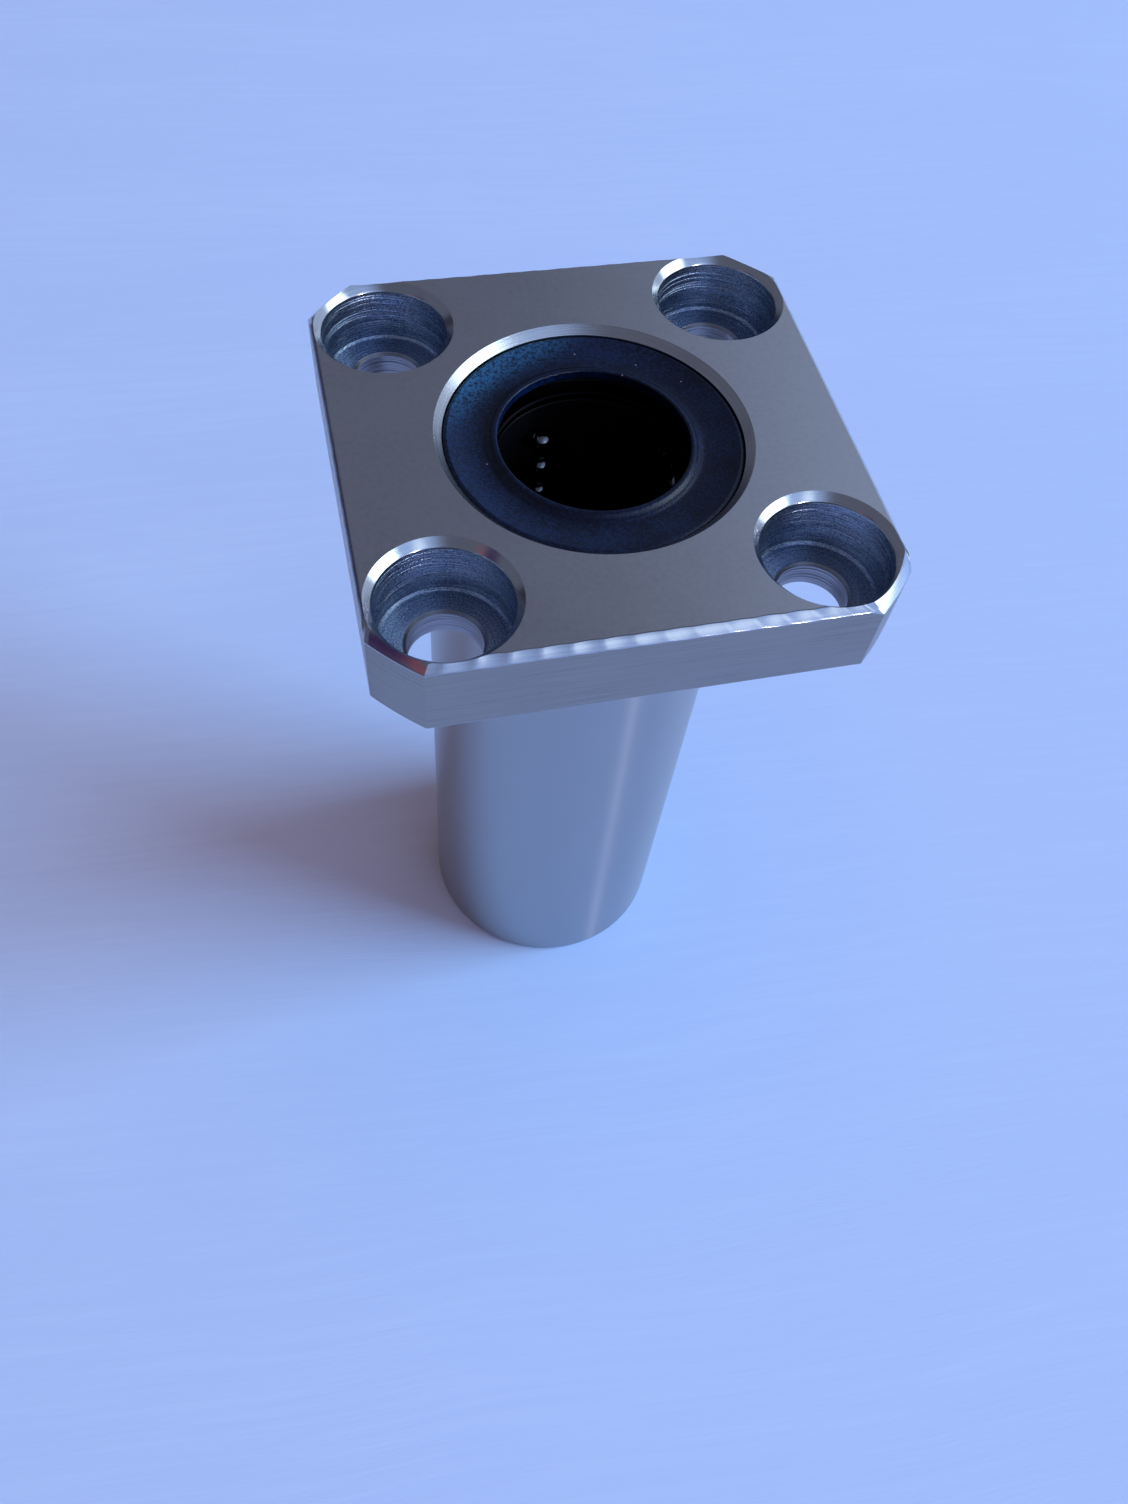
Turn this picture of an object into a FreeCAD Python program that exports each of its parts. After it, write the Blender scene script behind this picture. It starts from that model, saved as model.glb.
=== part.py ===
"""Square flange linear ball bearing of the long type, for a 12 mm shaft.

A one-piece steel sleeve carries a square flange at its top end. Two moulded retainers stand end to
end in its bore, and each guides four closed ball circuits. End rings, split snap rings and rubber
seals close both ends.

Millimetres. The shaft axis is Z, the barrel's end stands at Z = 0, the flange is at the top and its
sides are parallel to X and Y.
"""
import FreeCAD, Part
import math
import os

from FreeCAD import Vector

# Shaft, balls and ball circuits
SHAFT_DIAMETER = 12.0
BALL_DIAMETER = 2.381
BALL_TRACK_PLAY = 0.02
BALL_CHANNEL_PLAY = 0.06
BALL_GAP = 0.04
CIRCUIT_COUNT = 4
FIRST_CIRCUIT_ANGLE = 12.0

# Sleeve: the wall outside the raceways, the length and the edges of the plain end
OVERALL_LENGTH = 57.0
SLEEVE_WALL = 2.079
BARREL_END_CHAMFER = 0.3
RELIEF_CLEARANCE = 0.1
RACEWAY_HALF_WIDTH = 0.45

# Flange: a turned disc with four milled flats
FLANGE_THICKNESS = 6.0
FLANGE_TOP_BEVEL = 0.45
FLANGE_BOTTOM_BEVEL = 0.4
UNDERCUT_DEPTH = 0.2
UNDERCUT_WIDTH = 1.2

# Bolt holes, and the metal left between them and the outline
BOLT_COUNT = 4
BOLT_TO_BARREL = 5.5
BOLT_HOLE_DIAMETER = 4.5
COUNTERBORE_DIAMETER = 8.0
BOLT_SEAT_THICKNESS = 1.9
HOLE_CHAMFER = 0.36
BOLT_HOLE_CHAMFER = 0.2
HOLE_TO_SIDE = 0.3263
HOLE_TO_CORNER = 0.39

# Seals and their seats
SEAT_STEP = 0.98
SEAT_CHAMFER = 0.5
SEAL_RECESS = 0.5
SEAL_THICKNESS = 1.1
SEAL_FIT_CLEARANCE = 0.02
SEAL_EDGE = 0.12
SEAL_BEVEL_WIDTH = 0.6
SEAL_BEVEL_DROP = 0.4
SEAL_LIP_LENGTH = 0.45

# Snap rings and end rings
GROOVE_LIP = 0.3
GROOVE_DEPTH = 0.48
SNAP_RING_THICKNESS = 0.65
SNAP_RING_WIDTH = 1.45
SNAP_RING_CLEARANCE = 0.05
SNAP_RING_GAP_ANGLE = 40.0
END_RING_THICKNESS = 0.5
END_RING_SHAFT_CLEARANCE = 0.25
END_RING_EDGE = 0.1

# Retainers
RETAINER_BORE_CLEARANCE = 0.1
RETAINER_SHAFT_CLEARANCE = 0.3
RETAINER_MIDDLE_PLAY = 0.04
RETAINER_END_WALL = 0.35
RETAINER_EDGE = 0.2

# Radii, from the shaft outwards
SHAFT_RADIUS = SHAFT_DIAMETER / 2
BALL_RADIUS = BALL_DIAMETER / 2
LOAD_RADIUS = SHAFT_RADIUS + BALL_TRACK_PLAY + BALL_RADIUS
RACEWAY_RADIUS = LOAD_RADIUS + BALL_RADIUS + BALL_TRACK_PLAY
BARREL_RADIUS = RACEWAY_RADIUS + SLEEVE_WALL
SEAT_RADIUS = RACEWAY_RADIUS + SEAT_STEP
INNER_FIT_RADIUS = RACEWAY_RADIUS - RETAINER_BORE_CLEARANCE

# A ball circuit is a flat racetrack: two balls fill each turn a quarter turn apart, so the turn's
# radius follows from the pitch, and the return row lies outside the shaft's reach
BALL_PITCH = BALL_DIAMETER + BALL_GAP
TURN_RADIUS = BALL_PITCH / math.sqrt(2)
ROW_SPACING = 2 * TURN_RADIUS
RETURN_RADIUS = math.hypot(LOAD_RADIUS, ROW_SPACING)
CHANNEL_RADIUS = BALL_RADIUS + BALL_CHANNEL_PLAY
RELIEF_RADIUS = RETURN_RADIUS + BALL_RADIUS + RELIEF_CLEARANCE

# Depths below either end face
SEAT_DEPTH = SEAL_RECESS + SEAL_THICKNESS
GROOVE_TOP = SEAT_DEPTH + GROOVE_LIP
GROOVE_BOTTOM = GROOVE_TOP + SNAP_RING_THICKNESS + SNAP_RING_CLEARANCE
END_RING_TOP = GROOVE_TOP + SNAP_RING_THICKNESS
RETAINER_TOP = END_RING_TOP + END_RING_THICKNESS
RETAINER_LENGTH = (OVERALL_LENGTH - RETAINER_MIDDLE_PLAY) / 2 - RETAINER_TOP
TURN_LENGTH = TURN_RADIUS + CHANNEL_RADIUS + RETAINER_END_WALL
BALLS_PER_ROW = int((RETAINER_LENGTH - 2 * TURN_LENGTH) // BALL_PITCH)
ROW_LENGTH = BALLS_PER_ROW * BALL_PITCH

# Flange and bolt places
FLANGE_BOTTOM = OVERALL_LENGTH - FLANGE_THICKNESS
BOLT_CIRCLE_RADIUS = BARREL_RADIUS + BOLT_TO_BARREL
BOLT_HOLE_RADIUS = BOLT_HOLE_DIAMETER / 2
COUNTERBORE_RADIUS = COUNTERBORE_DIAMETER / 2
HOLE_REACH = COUNTERBORE_RADIUS + HOLE_CHAMFER
FLANGE_HALF_SIDE = BOLT_CIRCLE_RADIUS / math.sqrt(2) + HOLE_REACH + HOLE_TO_SIDE
FLANGE_CORNER_RADIUS = BOLT_CIRCLE_RADIUS + HOLE_REACH + HOLE_TO_CORNER

# Tools that cut through a face start and end this far outside it
CUT_OVERRUN = 2.0

Z_AXIS = Vector(0, 0, 1)


def revolved(outline, angle=360.0):
    """Turns a closed outline of (radius, height) points about the Z axis."""
    points = [Vector(radius, 0, height) for radius, height in outline]
    wire = Part.makePolygon(points + points[:1])
    return Part.Face(wire).revolve(Vector(0, 0, 0), Z_AXIS, angle)


def turned_over(shape):
    """The same piece at the other end of the sleeve."""
    middle = Vector(0, 0, OVERALL_LENGTH / 2)
    copy = shape.copy()
    copy.rotate(middle, Vector(1, 0, 0), 180)
    return copy


def at_depth(depth):
    """Height of a plane that lies this far below the flange's top face."""
    return OVERALL_LENGTH - depth


def flange_disc():
    """The turned disc that the flange's corners are left from."""
    outer = FLANGE_CORNER_RADIUS
    return revolved([
        (0, FLANGE_BOTTOM),
        (outer - FLANGE_BOTTOM_BEVEL, FLANGE_BOTTOM),
        (outer, FLANGE_BOTTOM + FLANGE_BOTTOM_BEVEL),
        (outer, OVERALL_LENGTH - FLANGE_TOP_BEVEL),
        (outer - FLANGE_TOP_BEVEL, OVERALL_LENGTH),
        (0, OVERALL_LENGTH),
    ])


def flats_bar():
    """A bar along Y whose section holds one pair of flats with their bevels."""
    side = FLANGE_HALF_SIDE
    length = FLANGE_CORNER_RADIUS + CUT_OVERRUN
    half_section = [
        (side - FLANGE_BOTTOM_BEVEL, FLANGE_BOTTOM),
        (side, FLANGE_BOTTOM + FLANGE_BOTTOM_BEVEL),
        (side, OVERALL_LENGTH - FLANGE_TOP_BEVEL),
        (side - FLANGE_TOP_BEVEL, OVERALL_LENGTH),
    ]
    section = half_section + [(-x, z) for x, z in reversed(half_section)]
    points = [Vector(x, -length, z) for x, z in section]
    face = Part.Face(Part.makePolygon(points + points[:1]))
    return face.extrude(Vector(0, 2 * length, 0))


def square_flange():
    """The disc between two crossed pairs of flats."""
    along_y = flats_bar()
    along_x = flats_bar()
    along_x.rotate(Vector(0, 0, 0), Z_AXIS, 90)
    return flange_disc().common(along_y).common(along_x)


def barrel():
    """The round barrel, up to the flange's top face."""
    return revolved([
        (0, 0),
        (BARREL_RADIUS - BARREL_END_CHAMFER, 0),
        (BARREL_RADIUS, BARREL_END_CHAMFER),
        (BARREL_RADIUS, OVERALL_LENGTH),
        (0, OVERALL_LENGTH),
    ])


def grinding_undercut():
    """The relief in the corner where the ground barrel meets the flange's seating face."""
    inner = BARREL_RADIUS - UNDERCUT_DEPTH
    outer = BARREL_RADIUS + UNDERCUT_WIDTH
    return revolved([
        (inner, FLANGE_BOTTOM + UNDERCUT_DEPTH),
        (outer - UNDERCUT_DEPTH, FLANGE_BOTTOM + UNDERCUT_DEPTH),
        (outer, FLANGE_BOTTOM),
        (outer, FLANGE_BOTTOM - UNDERCUT_WIDTH),
        (BARREL_RADIUS, FLANGE_BOTTOM - UNDERCUT_WIDTH),
        (inner, FLANGE_BOTTOM - UNDERCUT_WIDTH + UNDERCUT_DEPTH),
    ])


def end_cavity(chamfer):
    """Seal seat with its chamfer and the snap ring's groove, at the flange end."""
    groove_radius = RACEWAY_RADIUS + GROOVE_DEPTH
    seat = revolved([
        (0, at_depth(SEAT_DEPTH)),
        (SEAT_RADIUS, at_depth(SEAT_DEPTH)),
        (SEAT_RADIUS, at_depth(chamfer)),
        (SEAT_RADIUS + chamfer, at_depth(0)),
        (SEAT_RADIUS + chamfer, at_depth(-CUT_OVERRUN)),
        (0, at_depth(-CUT_OVERRUN)),
    ])
    groove = revolved([
        (0, at_depth(GROOVE_BOTTOM)),
        (groove_radius, at_depth(GROOVE_BOTTOM)),
        (groove_radius, at_depth(GROOVE_TOP)),
        (0, at_depth(GROOVE_TOP)),
    ])
    return seat.fuse(groove)


def circuit_angles():
    """Angles of the loaded rows round the shaft, in degrees."""
    return [FIRST_CIRCUIT_ANGLE + 360.0 * i / CIRCUIT_COUNT for i in range(CIRCUIT_COUNT)]


def return_relief():
    """The axial groove in the sleeve beside the first raceway, where unloaded balls run back.

    It is made at angle 0: its sides are parallel to X and its floor is round the shaft axis.
    """
    width = ROW_SPACING + CHANNEL_RADIUS - RACEWAY_HALF_WIDTH
    slab = Part.makeBox(
        RELIEF_RADIUS, width, OVERALL_LENGTH,
        Vector(SHAFT_RADIUS, RACEWAY_HALF_WIDTH, 0),
    )
    return slab.common(Part.makeCylinder(RELIEF_RADIUS, OVERALL_LENGTH))


def bolt_hole():
    """Through hole with its counterbore and edge chamfers, standing on the shaft axis."""
    floor = FLANGE_BOTTOM + BOLT_SEAT_THICKNESS
    return revolved([
        (0, FLANGE_BOTTOM - CUT_OVERRUN),
        (BOLT_HOLE_RADIUS + BOLT_HOLE_CHAMFER, FLANGE_BOTTOM - CUT_OVERRUN),
        (BOLT_HOLE_RADIUS + BOLT_HOLE_CHAMFER, FLANGE_BOTTOM),
        (BOLT_HOLE_RADIUS, FLANGE_BOTTOM + BOLT_HOLE_CHAMFER),
        (BOLT_HOLE_RADIUS, floor - BOLT_HOLE_CHAMFER),
        (BOLT_HOLE_RADIUS + BOLT_HOLE_CHAMFER, floor),
        (COUNTERBORE_RADIUS, floor),
        (COUNTERBORE_RADIUS, OVERALL_LENGTH - HOLE_CHAMFER),
        (HOLE_REACH, OVERALL_LENGTH),
        (HOLE_REACH, OVERALL_LENGTH + CUT_OVERRUN),
        (0, OVERALL_LENGTH + CUT_OVERRUN),
    ])


def bolt_holes():
    """The four holes, one at each of the flange's corners."""
    holes = []
    for i in range(BOLT_COUNT):
        angle = math.radians(45 + 360.0 * i / BOLT_COUNT)
        place = Vector(math.cos(angle), math.sin(angle), 0) * BOLT_CIRCLE_RADIUS
        holes.append(bolt_hole().translated(place))
    return holes


def flanged_sleeve():
    """Flange and barrel in one piece, with the bore, raceways and seats inside."""
    sleeve = square_flange().fuse(barrel())
    sleeve = sleeve.cut(grinding_undercut())
    sleeve = sleeve.cut(Part.makeCylinder(RACEWAY_RADIUS, OVERALL_LENGTH))
    sleeve = sleeve.cut(end_cavity(SEAT_CHAMFER))
    sleeve = sleeve.cut(turned_over(end_cavity(BARREL_END_CHAMFER)))
    for angle in circuit_angles():
        relief = return_relief()
        relief.rotate(Vector(0, 0, 0), Z_AXIS, angle)
        sleeve = sleeve.cut(relief)
    for hole in bolt_holes():
        sleeve = sleeve.cut(hole)
    return sleeve.removeSplitter()


def seal():
    """Rubber end seal at the flange end: a ring whose bevel leads the shaft to the lip."""
    outer = SEAT_RADIUS - SEAL_FIT_CLEARANCE
    lip_top = SEAL_RECESS + SEAL_BEVEL_DROP
    lip_bottom = lip_top + SEAL_LIP_LENGTH
    return revolved([
        (outer, at_depth(SEAT_DEPTH)),
        (outer, at_depth(SEAL_RECESS + SEAL_EDGE)),
        (outer - SEAL_EDGE, at_depth(SEAL_RECESS)),
        (SHAFT_RADIUS + SEAL_BEVEL_WIDTH, at_depth(SEAL_RECESS)),
        (SHAFT_RADIUS, at_depth(lip_top)),
        (SHAFT_RADIUS, at_depth(lip_bottom)),
        (SHAFT_RADIUS + SEAT_DEPTH - lip_bottom, at_depth(SEAT_DEPTH)),
    ])


def snap_ring():
    """Split spring ring in its groove behind the seal at the flange end."""
    outer = RACEWAY_RADIUS + GROOVE_DEPTH - SNAP_RING_CLEARANCE
    ring = revolved([
        (outer - SNAP_RING_WIDTH, at_depth(END_RING_TOP)),
        (outer, at_depth(END_RING_TOP)),
        (outer, at_depth(GROOVE_TOP)),
        (outer - SNAP_RING_WIDTH, at_depth(GROOVE_TOP)),
    ], 360.0 - SNAP_RING_GAP_ANGLE)
    ring.rotate(Vector(0, 0, 0), Z_AXIS, SNAP_RING_GAP_ANGLE / 2)
    return ring


def end_ring():
    """Flat ring between the snap ring and the retainer at the flange end."""
    inner = SHAFT_RADIUS + END_RING_SHAFT_CLEARANCE
    return revolved([
        (inner, at_depth(RETAINER_TOP)),
        (INNER_FIT_RADIUS, at_depth(RETAINER_TOP)),
        (INNER_FIT_RADIUS, at_depth(END_RING_TOP)),
        (inner + END_RING_EDGE, at_depth(END_RING_TOP)),
        (inner, at_depth(END_RING_TOP + END_RING_EDGE)),
    ])


def channel_section():
    """Section of a ball channel at angle 0: a round floor, open outwards along X."""
    middle = Vector(LOAD_RADIUS, 0, 0)
    side = Vector(0, CHANNEL_RADIUS, 0)
    mouth = Vector(RACEWAY_RADIUS + CUT_OVERRUN, 0, 0)
    floor = Part.Arc(middle + side, middle - Vector(CHANNEL_RADIUS, 0, 0), middle - side).toShape()
    walls = Part.makePolygon([middle - side, mouth - side, mouth + side, middle + side])
    return Part.Face(Part.Wire([floor] + walls.Edges))


def circuit_channel(low):
    """The racetrack channel of one circuit at angle 0, its straight rows starting at height low."""
    high = low + ROW_LENGTH
    section = channel_section()
    load_row = section.translated(Vector(0, 0, low)).extrude(Z_AXIS * ROW_LENGTH)
    return_row = load_row.translated(Vector(0, ROW_SPACING, 0))
    outwards = Vector(1, 0, 0)
    top_turn = section.translated(Vector(0, 0, high))
    top_turn = top_turn.revolve(Vector(0, TURN_RADIUS, high), -outwards, 180)
    bottom_turn = section.translated(Vector(0, 0, low))
    bottom_turn = bottom_turn.revolve(Vector(0, TURN_RADIUS, low), outwards, 180)
    return [load_row, top_turn, return_row, bottom_turn]


def retainer(bottom):
    """Moulded tube with one racetrack channel for each ball circuit."""
    inner = SHAFT_RADIUS + RETAINER_SHAFT_CLEARANCE
    top = bottom + RETAINER_LENGTH
    tube = revolved([
        (inner, bottom + RETAINER_EDGE),
        (inner + RETAINER_EDGE, bottom),
        (INNER_FIT_RADIUS - RETAINER_EDGE, bottom),
        (INNER_FIT_RADIUS, bottom + RETAINER_EDGE),
        (INNER_FIT_RADIUS, top - RETAINER_EDGE),
        (INNER_FIT_RADIUS - RETAINER_EDGE, top),
        (inner + RETAINER_EDGE, top),
        (inner, top - RETAINER_EDGE),
    ])
    for angle in circuit_angles():
        for channel in circuit_channel(row_start(bottom)):
            channel.rotate(Vector(0, 0, 0), Z_AXIS, angle)
            tube = tube.cut(channel)
    return tube.removeSplitter()


def row_start(bottom):
    """Height where the straight rows start in a retainer that stands at this height."""
    return bottom + (RETAINER_LENGTH - ROW_LENGTH) / 2


def ball(along, up):
    """One ball of the circuit at angle 0, this far from the loaded row and this high."""
    return Part.makeSphere(BALL_RADIUS, Vector(LOAD_RADIUS, along, up))


def ball_groups(low):
    """The balls of one circuit at angle 0, in the four groups that move as one piece each.

    Over one ball pitch the loaded row rises, the top turn swings a quarter turn, the return row
    sinks and the bottom turn swings a quarter turn. Each ball then stands where the next one stood.
    """
    high = low + ROW_LENGTH
    steps = [i * BALL_PITCH for i in range(BALLS_PER_ROW)]
    turn = TURN_RADIUS
    return {
        "load_balls": [ball(0, low + step) for step in steps],
        "top_turn_balls": [ball(0, high), ball(turn, high + turn)],
        "return_balls": [ball(ROW_SPACING, high - step) for step in steps],
        "bottom_turn_balls": [ball(ROW_SPACING, low), ball(turn, low - turn)],
    }


def all_nodes():
    """Every node of the bearing with its shape."""
    nodes = {"flanged_sleeve": flanged_sleeve()}
    for name, piece in (("seal", seal()), ("snap_ring", snap_ring()), ("end_ring", end_ring())):
        nodes["upper_" + name] = piece
        nodes["lower_" + name] = turned_over(piece)
    bottoms = {
        "lower": RETAINER_TOP,
        "upper": OVERALL_LENGTH - RETAINER_TOP - RETAINER_LENGTH,
    }
    for level, bottom in bottoms.items():
        nodes[level + "_retainer"] = retainer(bottom)
        for number, angle in enumerate(circuit_angles(), start=1):
            for group, balls in ball_groups(row_start(bottom)).items():
                shape = Part.makeCompound(balls)
                shape.rotate(Vector(0, 0, 0), Z_AXIS, angle)
                nodes[f"{level}_{number}_{group}"] = shape
    return nodes


os.makedirs("parts", exist_ok=True)
for node_name, node_shape in all_nodes().items():
    node_shape.exportStep(f"parts/{node_name}.step")
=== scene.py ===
"""Looks of a square flange linear bearing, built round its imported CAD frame.

Sizes are millimetres unless a field says otherwise. A finished mesh is in metres, and it stands in
the frame of the CAD model: the shaft axis is Z and the barrel's end stands at Z = 0.
"""

import logging
import math
import random
from dataclasses import dataclass
from enum import Enum
from itertools import pairwise
from typing import Iterable, Sequence, Union

import bmesh
import bpy
from mathutils import Matrix, Vector
from mathutils.geometry import delaunay_2d_cdt


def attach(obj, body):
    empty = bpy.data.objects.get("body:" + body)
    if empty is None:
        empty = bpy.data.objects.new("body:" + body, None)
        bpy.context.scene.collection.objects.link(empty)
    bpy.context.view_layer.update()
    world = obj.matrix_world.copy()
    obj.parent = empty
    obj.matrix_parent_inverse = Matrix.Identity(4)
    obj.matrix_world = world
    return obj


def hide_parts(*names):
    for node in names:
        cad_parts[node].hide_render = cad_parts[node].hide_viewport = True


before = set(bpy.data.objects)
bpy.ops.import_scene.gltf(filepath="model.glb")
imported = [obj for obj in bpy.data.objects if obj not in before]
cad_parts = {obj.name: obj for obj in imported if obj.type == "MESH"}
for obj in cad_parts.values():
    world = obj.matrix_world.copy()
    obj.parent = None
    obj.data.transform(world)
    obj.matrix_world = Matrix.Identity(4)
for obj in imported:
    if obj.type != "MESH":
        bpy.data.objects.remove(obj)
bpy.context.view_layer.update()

log = logging.getLogger("bearing")

METRE = 0.001
PER_METRE = 1000.0
HOUSING = "housing"
SHARP_ANGLE = math.radians(25)
QUARTER_TURN = math.pi / 2
EIGHTH_TURN = math.pi / 4
WELD_DISTANCE = 1e-5
FLAT_TOLERANCE = 1e-7
# What delaunay_2d_cdt returns: only the triangles inside the given edges.
INSIDE_EDGES = 1
# Turn of a stretched highlight, in whole turns.
ACROSS_MARKS = 0.25
# Distances from a cell's point where a speck is gone and where it is full, in cells.
SPECK_REACH = (0.11, 0.05)
# Level direction that each of the flange's sides faces, counter-clockwise from +X.
SIDE_WAYS = ((1, 0), (0, 1), (-1, 0), (0, -1))

Colour = tuple[float, float, float]
Place = tuple[float, float, float]
Point = tuple[float, float]
Pair = tuple[float, float]
Ring = Sequence[bmesh.types.BMVert]


class Signal:
    """An output socket of a node, with arithmetic that adds Math nodes."""

    def __init__(self, graph: "Graph", socket: bpy.types.NodeSocket) -> None:
        """Wraps one output socket of a tree."""
        self.graph = graph
        self.socket = socket

    def also(self, output: Union[str, int]) -> "Signal":
        """Another output of the same node."""
        return Signal(self.graph, self.socket.node.outputs[output])

    def _math(self, operation: str, *operands: "Term") -> "Signal":
        """One Math node on these operands."""
        return self.graph.node("ShaderNodeMath", {"operation": operation}, dict(enumerate(operands)))

    def __add__(self, other: "Term") -> "Signal":
        """Sum."""
        return self._math("ADD", self, other)

    def __radd__(self, other: "Term") -> "Signal":
        """Sum with a number on the left."""
        return self._math("ADD", other, self)

    def __sub__(self, other: "Term") -> "Signal":
        """Difference."""
        return self._math("SUBTRACT", self, other)

    def __rsub__(self, other: "Term") -> "Signal":
        """Difference from a number."""
        return self._math("SUBTRACT", other, self)

    def __mul__(self, other: "Term") -> "Signal":
        """Product."""
        return self._math("MULTIPLY", self, other)

    def __rmul__(self, other: "Term") -> "Signal":
        """Product with a number on the left."""
        return self._math("MULTIPLY", other, self)

    def __abs__(self) -> "Signal":
        """Absolute value."""
        return self._math("ABSOLUTE", self)

    def above(self, limit: float) -> "Signal":
        """1 where this is greater than the limit, and 0 elsewhere."""
        return self._math("GREATER_THAN", self, limit)

    def root(self) -> "Signal":
        """Square root."""
        return self._math("SQRT", self)

    def step(self, low: float, high: float) -> "Signal":
        """Rises smoothly from 0 at low to 1 at high, and falls if low is the greater.

        Args:
            low: value of this signal where the result is 0.
            high: value of this signal where the result is 1.

        Returns:
            The step, held between 0 and 1.
        """
        if low > high:
            return 1.0 - self.step(high, low)
        settings = {"interpolation_type": "SMOOTHSTEP"}
        return self.graph.node("ShaderNodeMapRange", settings, {0: self, 1: low, 2: high, 3: 0.0, 4: 1.0})


Term = Union[Signal, float, int]


class Graph:
    """A node tree that is filled from expressions."""

    def __init__(self, tree: bpy.types.NodeTree) -> None:
        """Takes an empty tree."""
        self.tree = tree

    def node(
        self,
        kind: str,
        settings: dict[str, object] | None = None,
        sockets: dict[Union[str, int], object] | None = None,
        output: Union[str, int] = 0,
    ) -> Signal:
        """Adds one node.

        Args:
            kind: Blender's type name of the node.
            settings: properties of the node, set first.
            sockets: value or Signal for each input, by name or number.
            output: the output that is returned.

        Returns:
            The chosen output. A node without outputs gives its first input, which nothing uses.
        """
        made = self.tree.nodes.new(kind)
        for name, value in (settings or {}).items():
            setattr(made, name, value)
        for key, value in (sockets or {}).items():
            if isinstance(value, Signal):
                self.tree.links.new(value.socket, made.inputs[key])
            else:
                made.inputs[key].default_value = value
        return Signal(self, made.outputs[output] if made.outputs else made.inputs[0])

    def vector(self, x: Term, y: Term, z: Term) -> Signal:
        """A vector of three values."""
        return self.node("ShaderNodeCombineXYZ", None, {0: x, 1: y, 2: z})

    def noise(self, place: Signal, scale: float, detail: float = 2.0, rough: float = 0.5) -> Signal:
        """Noise about 0 to 1 with this many features to the unit."""
        sockets = {"Vector": place, "Scale": scale, "Detail": detail, "Roughness": rough}
        return self.node("ShaderNodeTexNoise", {"noise_dimensions": "3D"}, sockets)

    def mix(self, first: Union[Signal, Colour], second: Union[Signal, Colour], share: Signal) -> Signal:
        """Colour between two, by the share of the second."""
        ends = [end if isinstance(end, Signal) else (*end, 1.0) for end in (first, second)]
        return self.node("ShaderNodeMix", {"data_type": "RGBA"}, {0: share, 6: ends[0], 7: ends[1]}, 2)

    def bump(self, height: Signal, depth: float) -> Signal:
        """Normal of a relief whose height 0 to 1 is this many millimetres."""
        return self.node("ShaderNodeBump", None, {"Height": height, "Distance": depth * METRE})


class SurfaceGraph(Graph):
    """The tree of a new material, with the surface's place in millimetres at hand."""

    def __init__(self, name: str) -> None:
        """Makes the material and reads Object coordinates.

        Args:
            name: name of the material.
        """
        self.material = bpy.data.materials.new(name)
        self.material.use_nodes = True
        super().__init__(self.material.node_tree)
        self.tree.nodes.clear()
        place = self.node("ShaderNodeTexCoord", None, None, "Object")
        scaled = {0: place, "Scale": PER_METRE}
        self.place = self.node("ShaderNodeVectorMath", {"operation": "SCALE"}, scaled)
        self.x = self.node("ShaderNodeSeparateXYZ", None, {0: self.place})
        self.y = self.x.also(1)
        self.z = self.x.also(2)

    def specks(self, scale: float, share: float) -> Signal:
        """Tiny round specks in some of the cells of a random pattern.

        Args:
            scale: cells to the millimetre.
            share: share of the cells that hold a speck.

        Returns:
            1 within a speck, and 0 elsewhere.
        """
        cells = {"Vector": self.place, "Scale": scale, "Randomness": 1.0}
        cell = self.node("ShaderNodeTexVoronoi", {"feature": "F1"}, cells)
        chosen = self.node("ShaderNodeSeparateColor", None, {0: cell.also("Color")}).above(1.0 - share)
        return chosen * cell.step(*SPECK_REACH)

    def finish(self, sockets: dict[str, object]) -> bpy.types.Material:
        """Ends the tree in one Principled shader.

        Args:
            sockets: value or Signal for each of the shader's inputs.

        Returns:
            The finished material.
        """
        surface = self.node("ShaderNodeBsdfPrincipled", None, sockets)
        self.node("ShaderNodeOutputMaterial", None, {"Surface": surface})
        return self.material


def distance(x: Signal, y: Signal) -> Signal:
    """Length of a level vector."""
    return (x * x + y * y).root()


class Lay(Enum):
    """Which way the tool's marks run over a machined face."""

    EVEN = "even"
    ALONG_SIDES = "along the flange's sides"
    AROUND_SHAFT = "round the shaft axis"
    AROUND_HOLES = "round the bolt holes"


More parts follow.
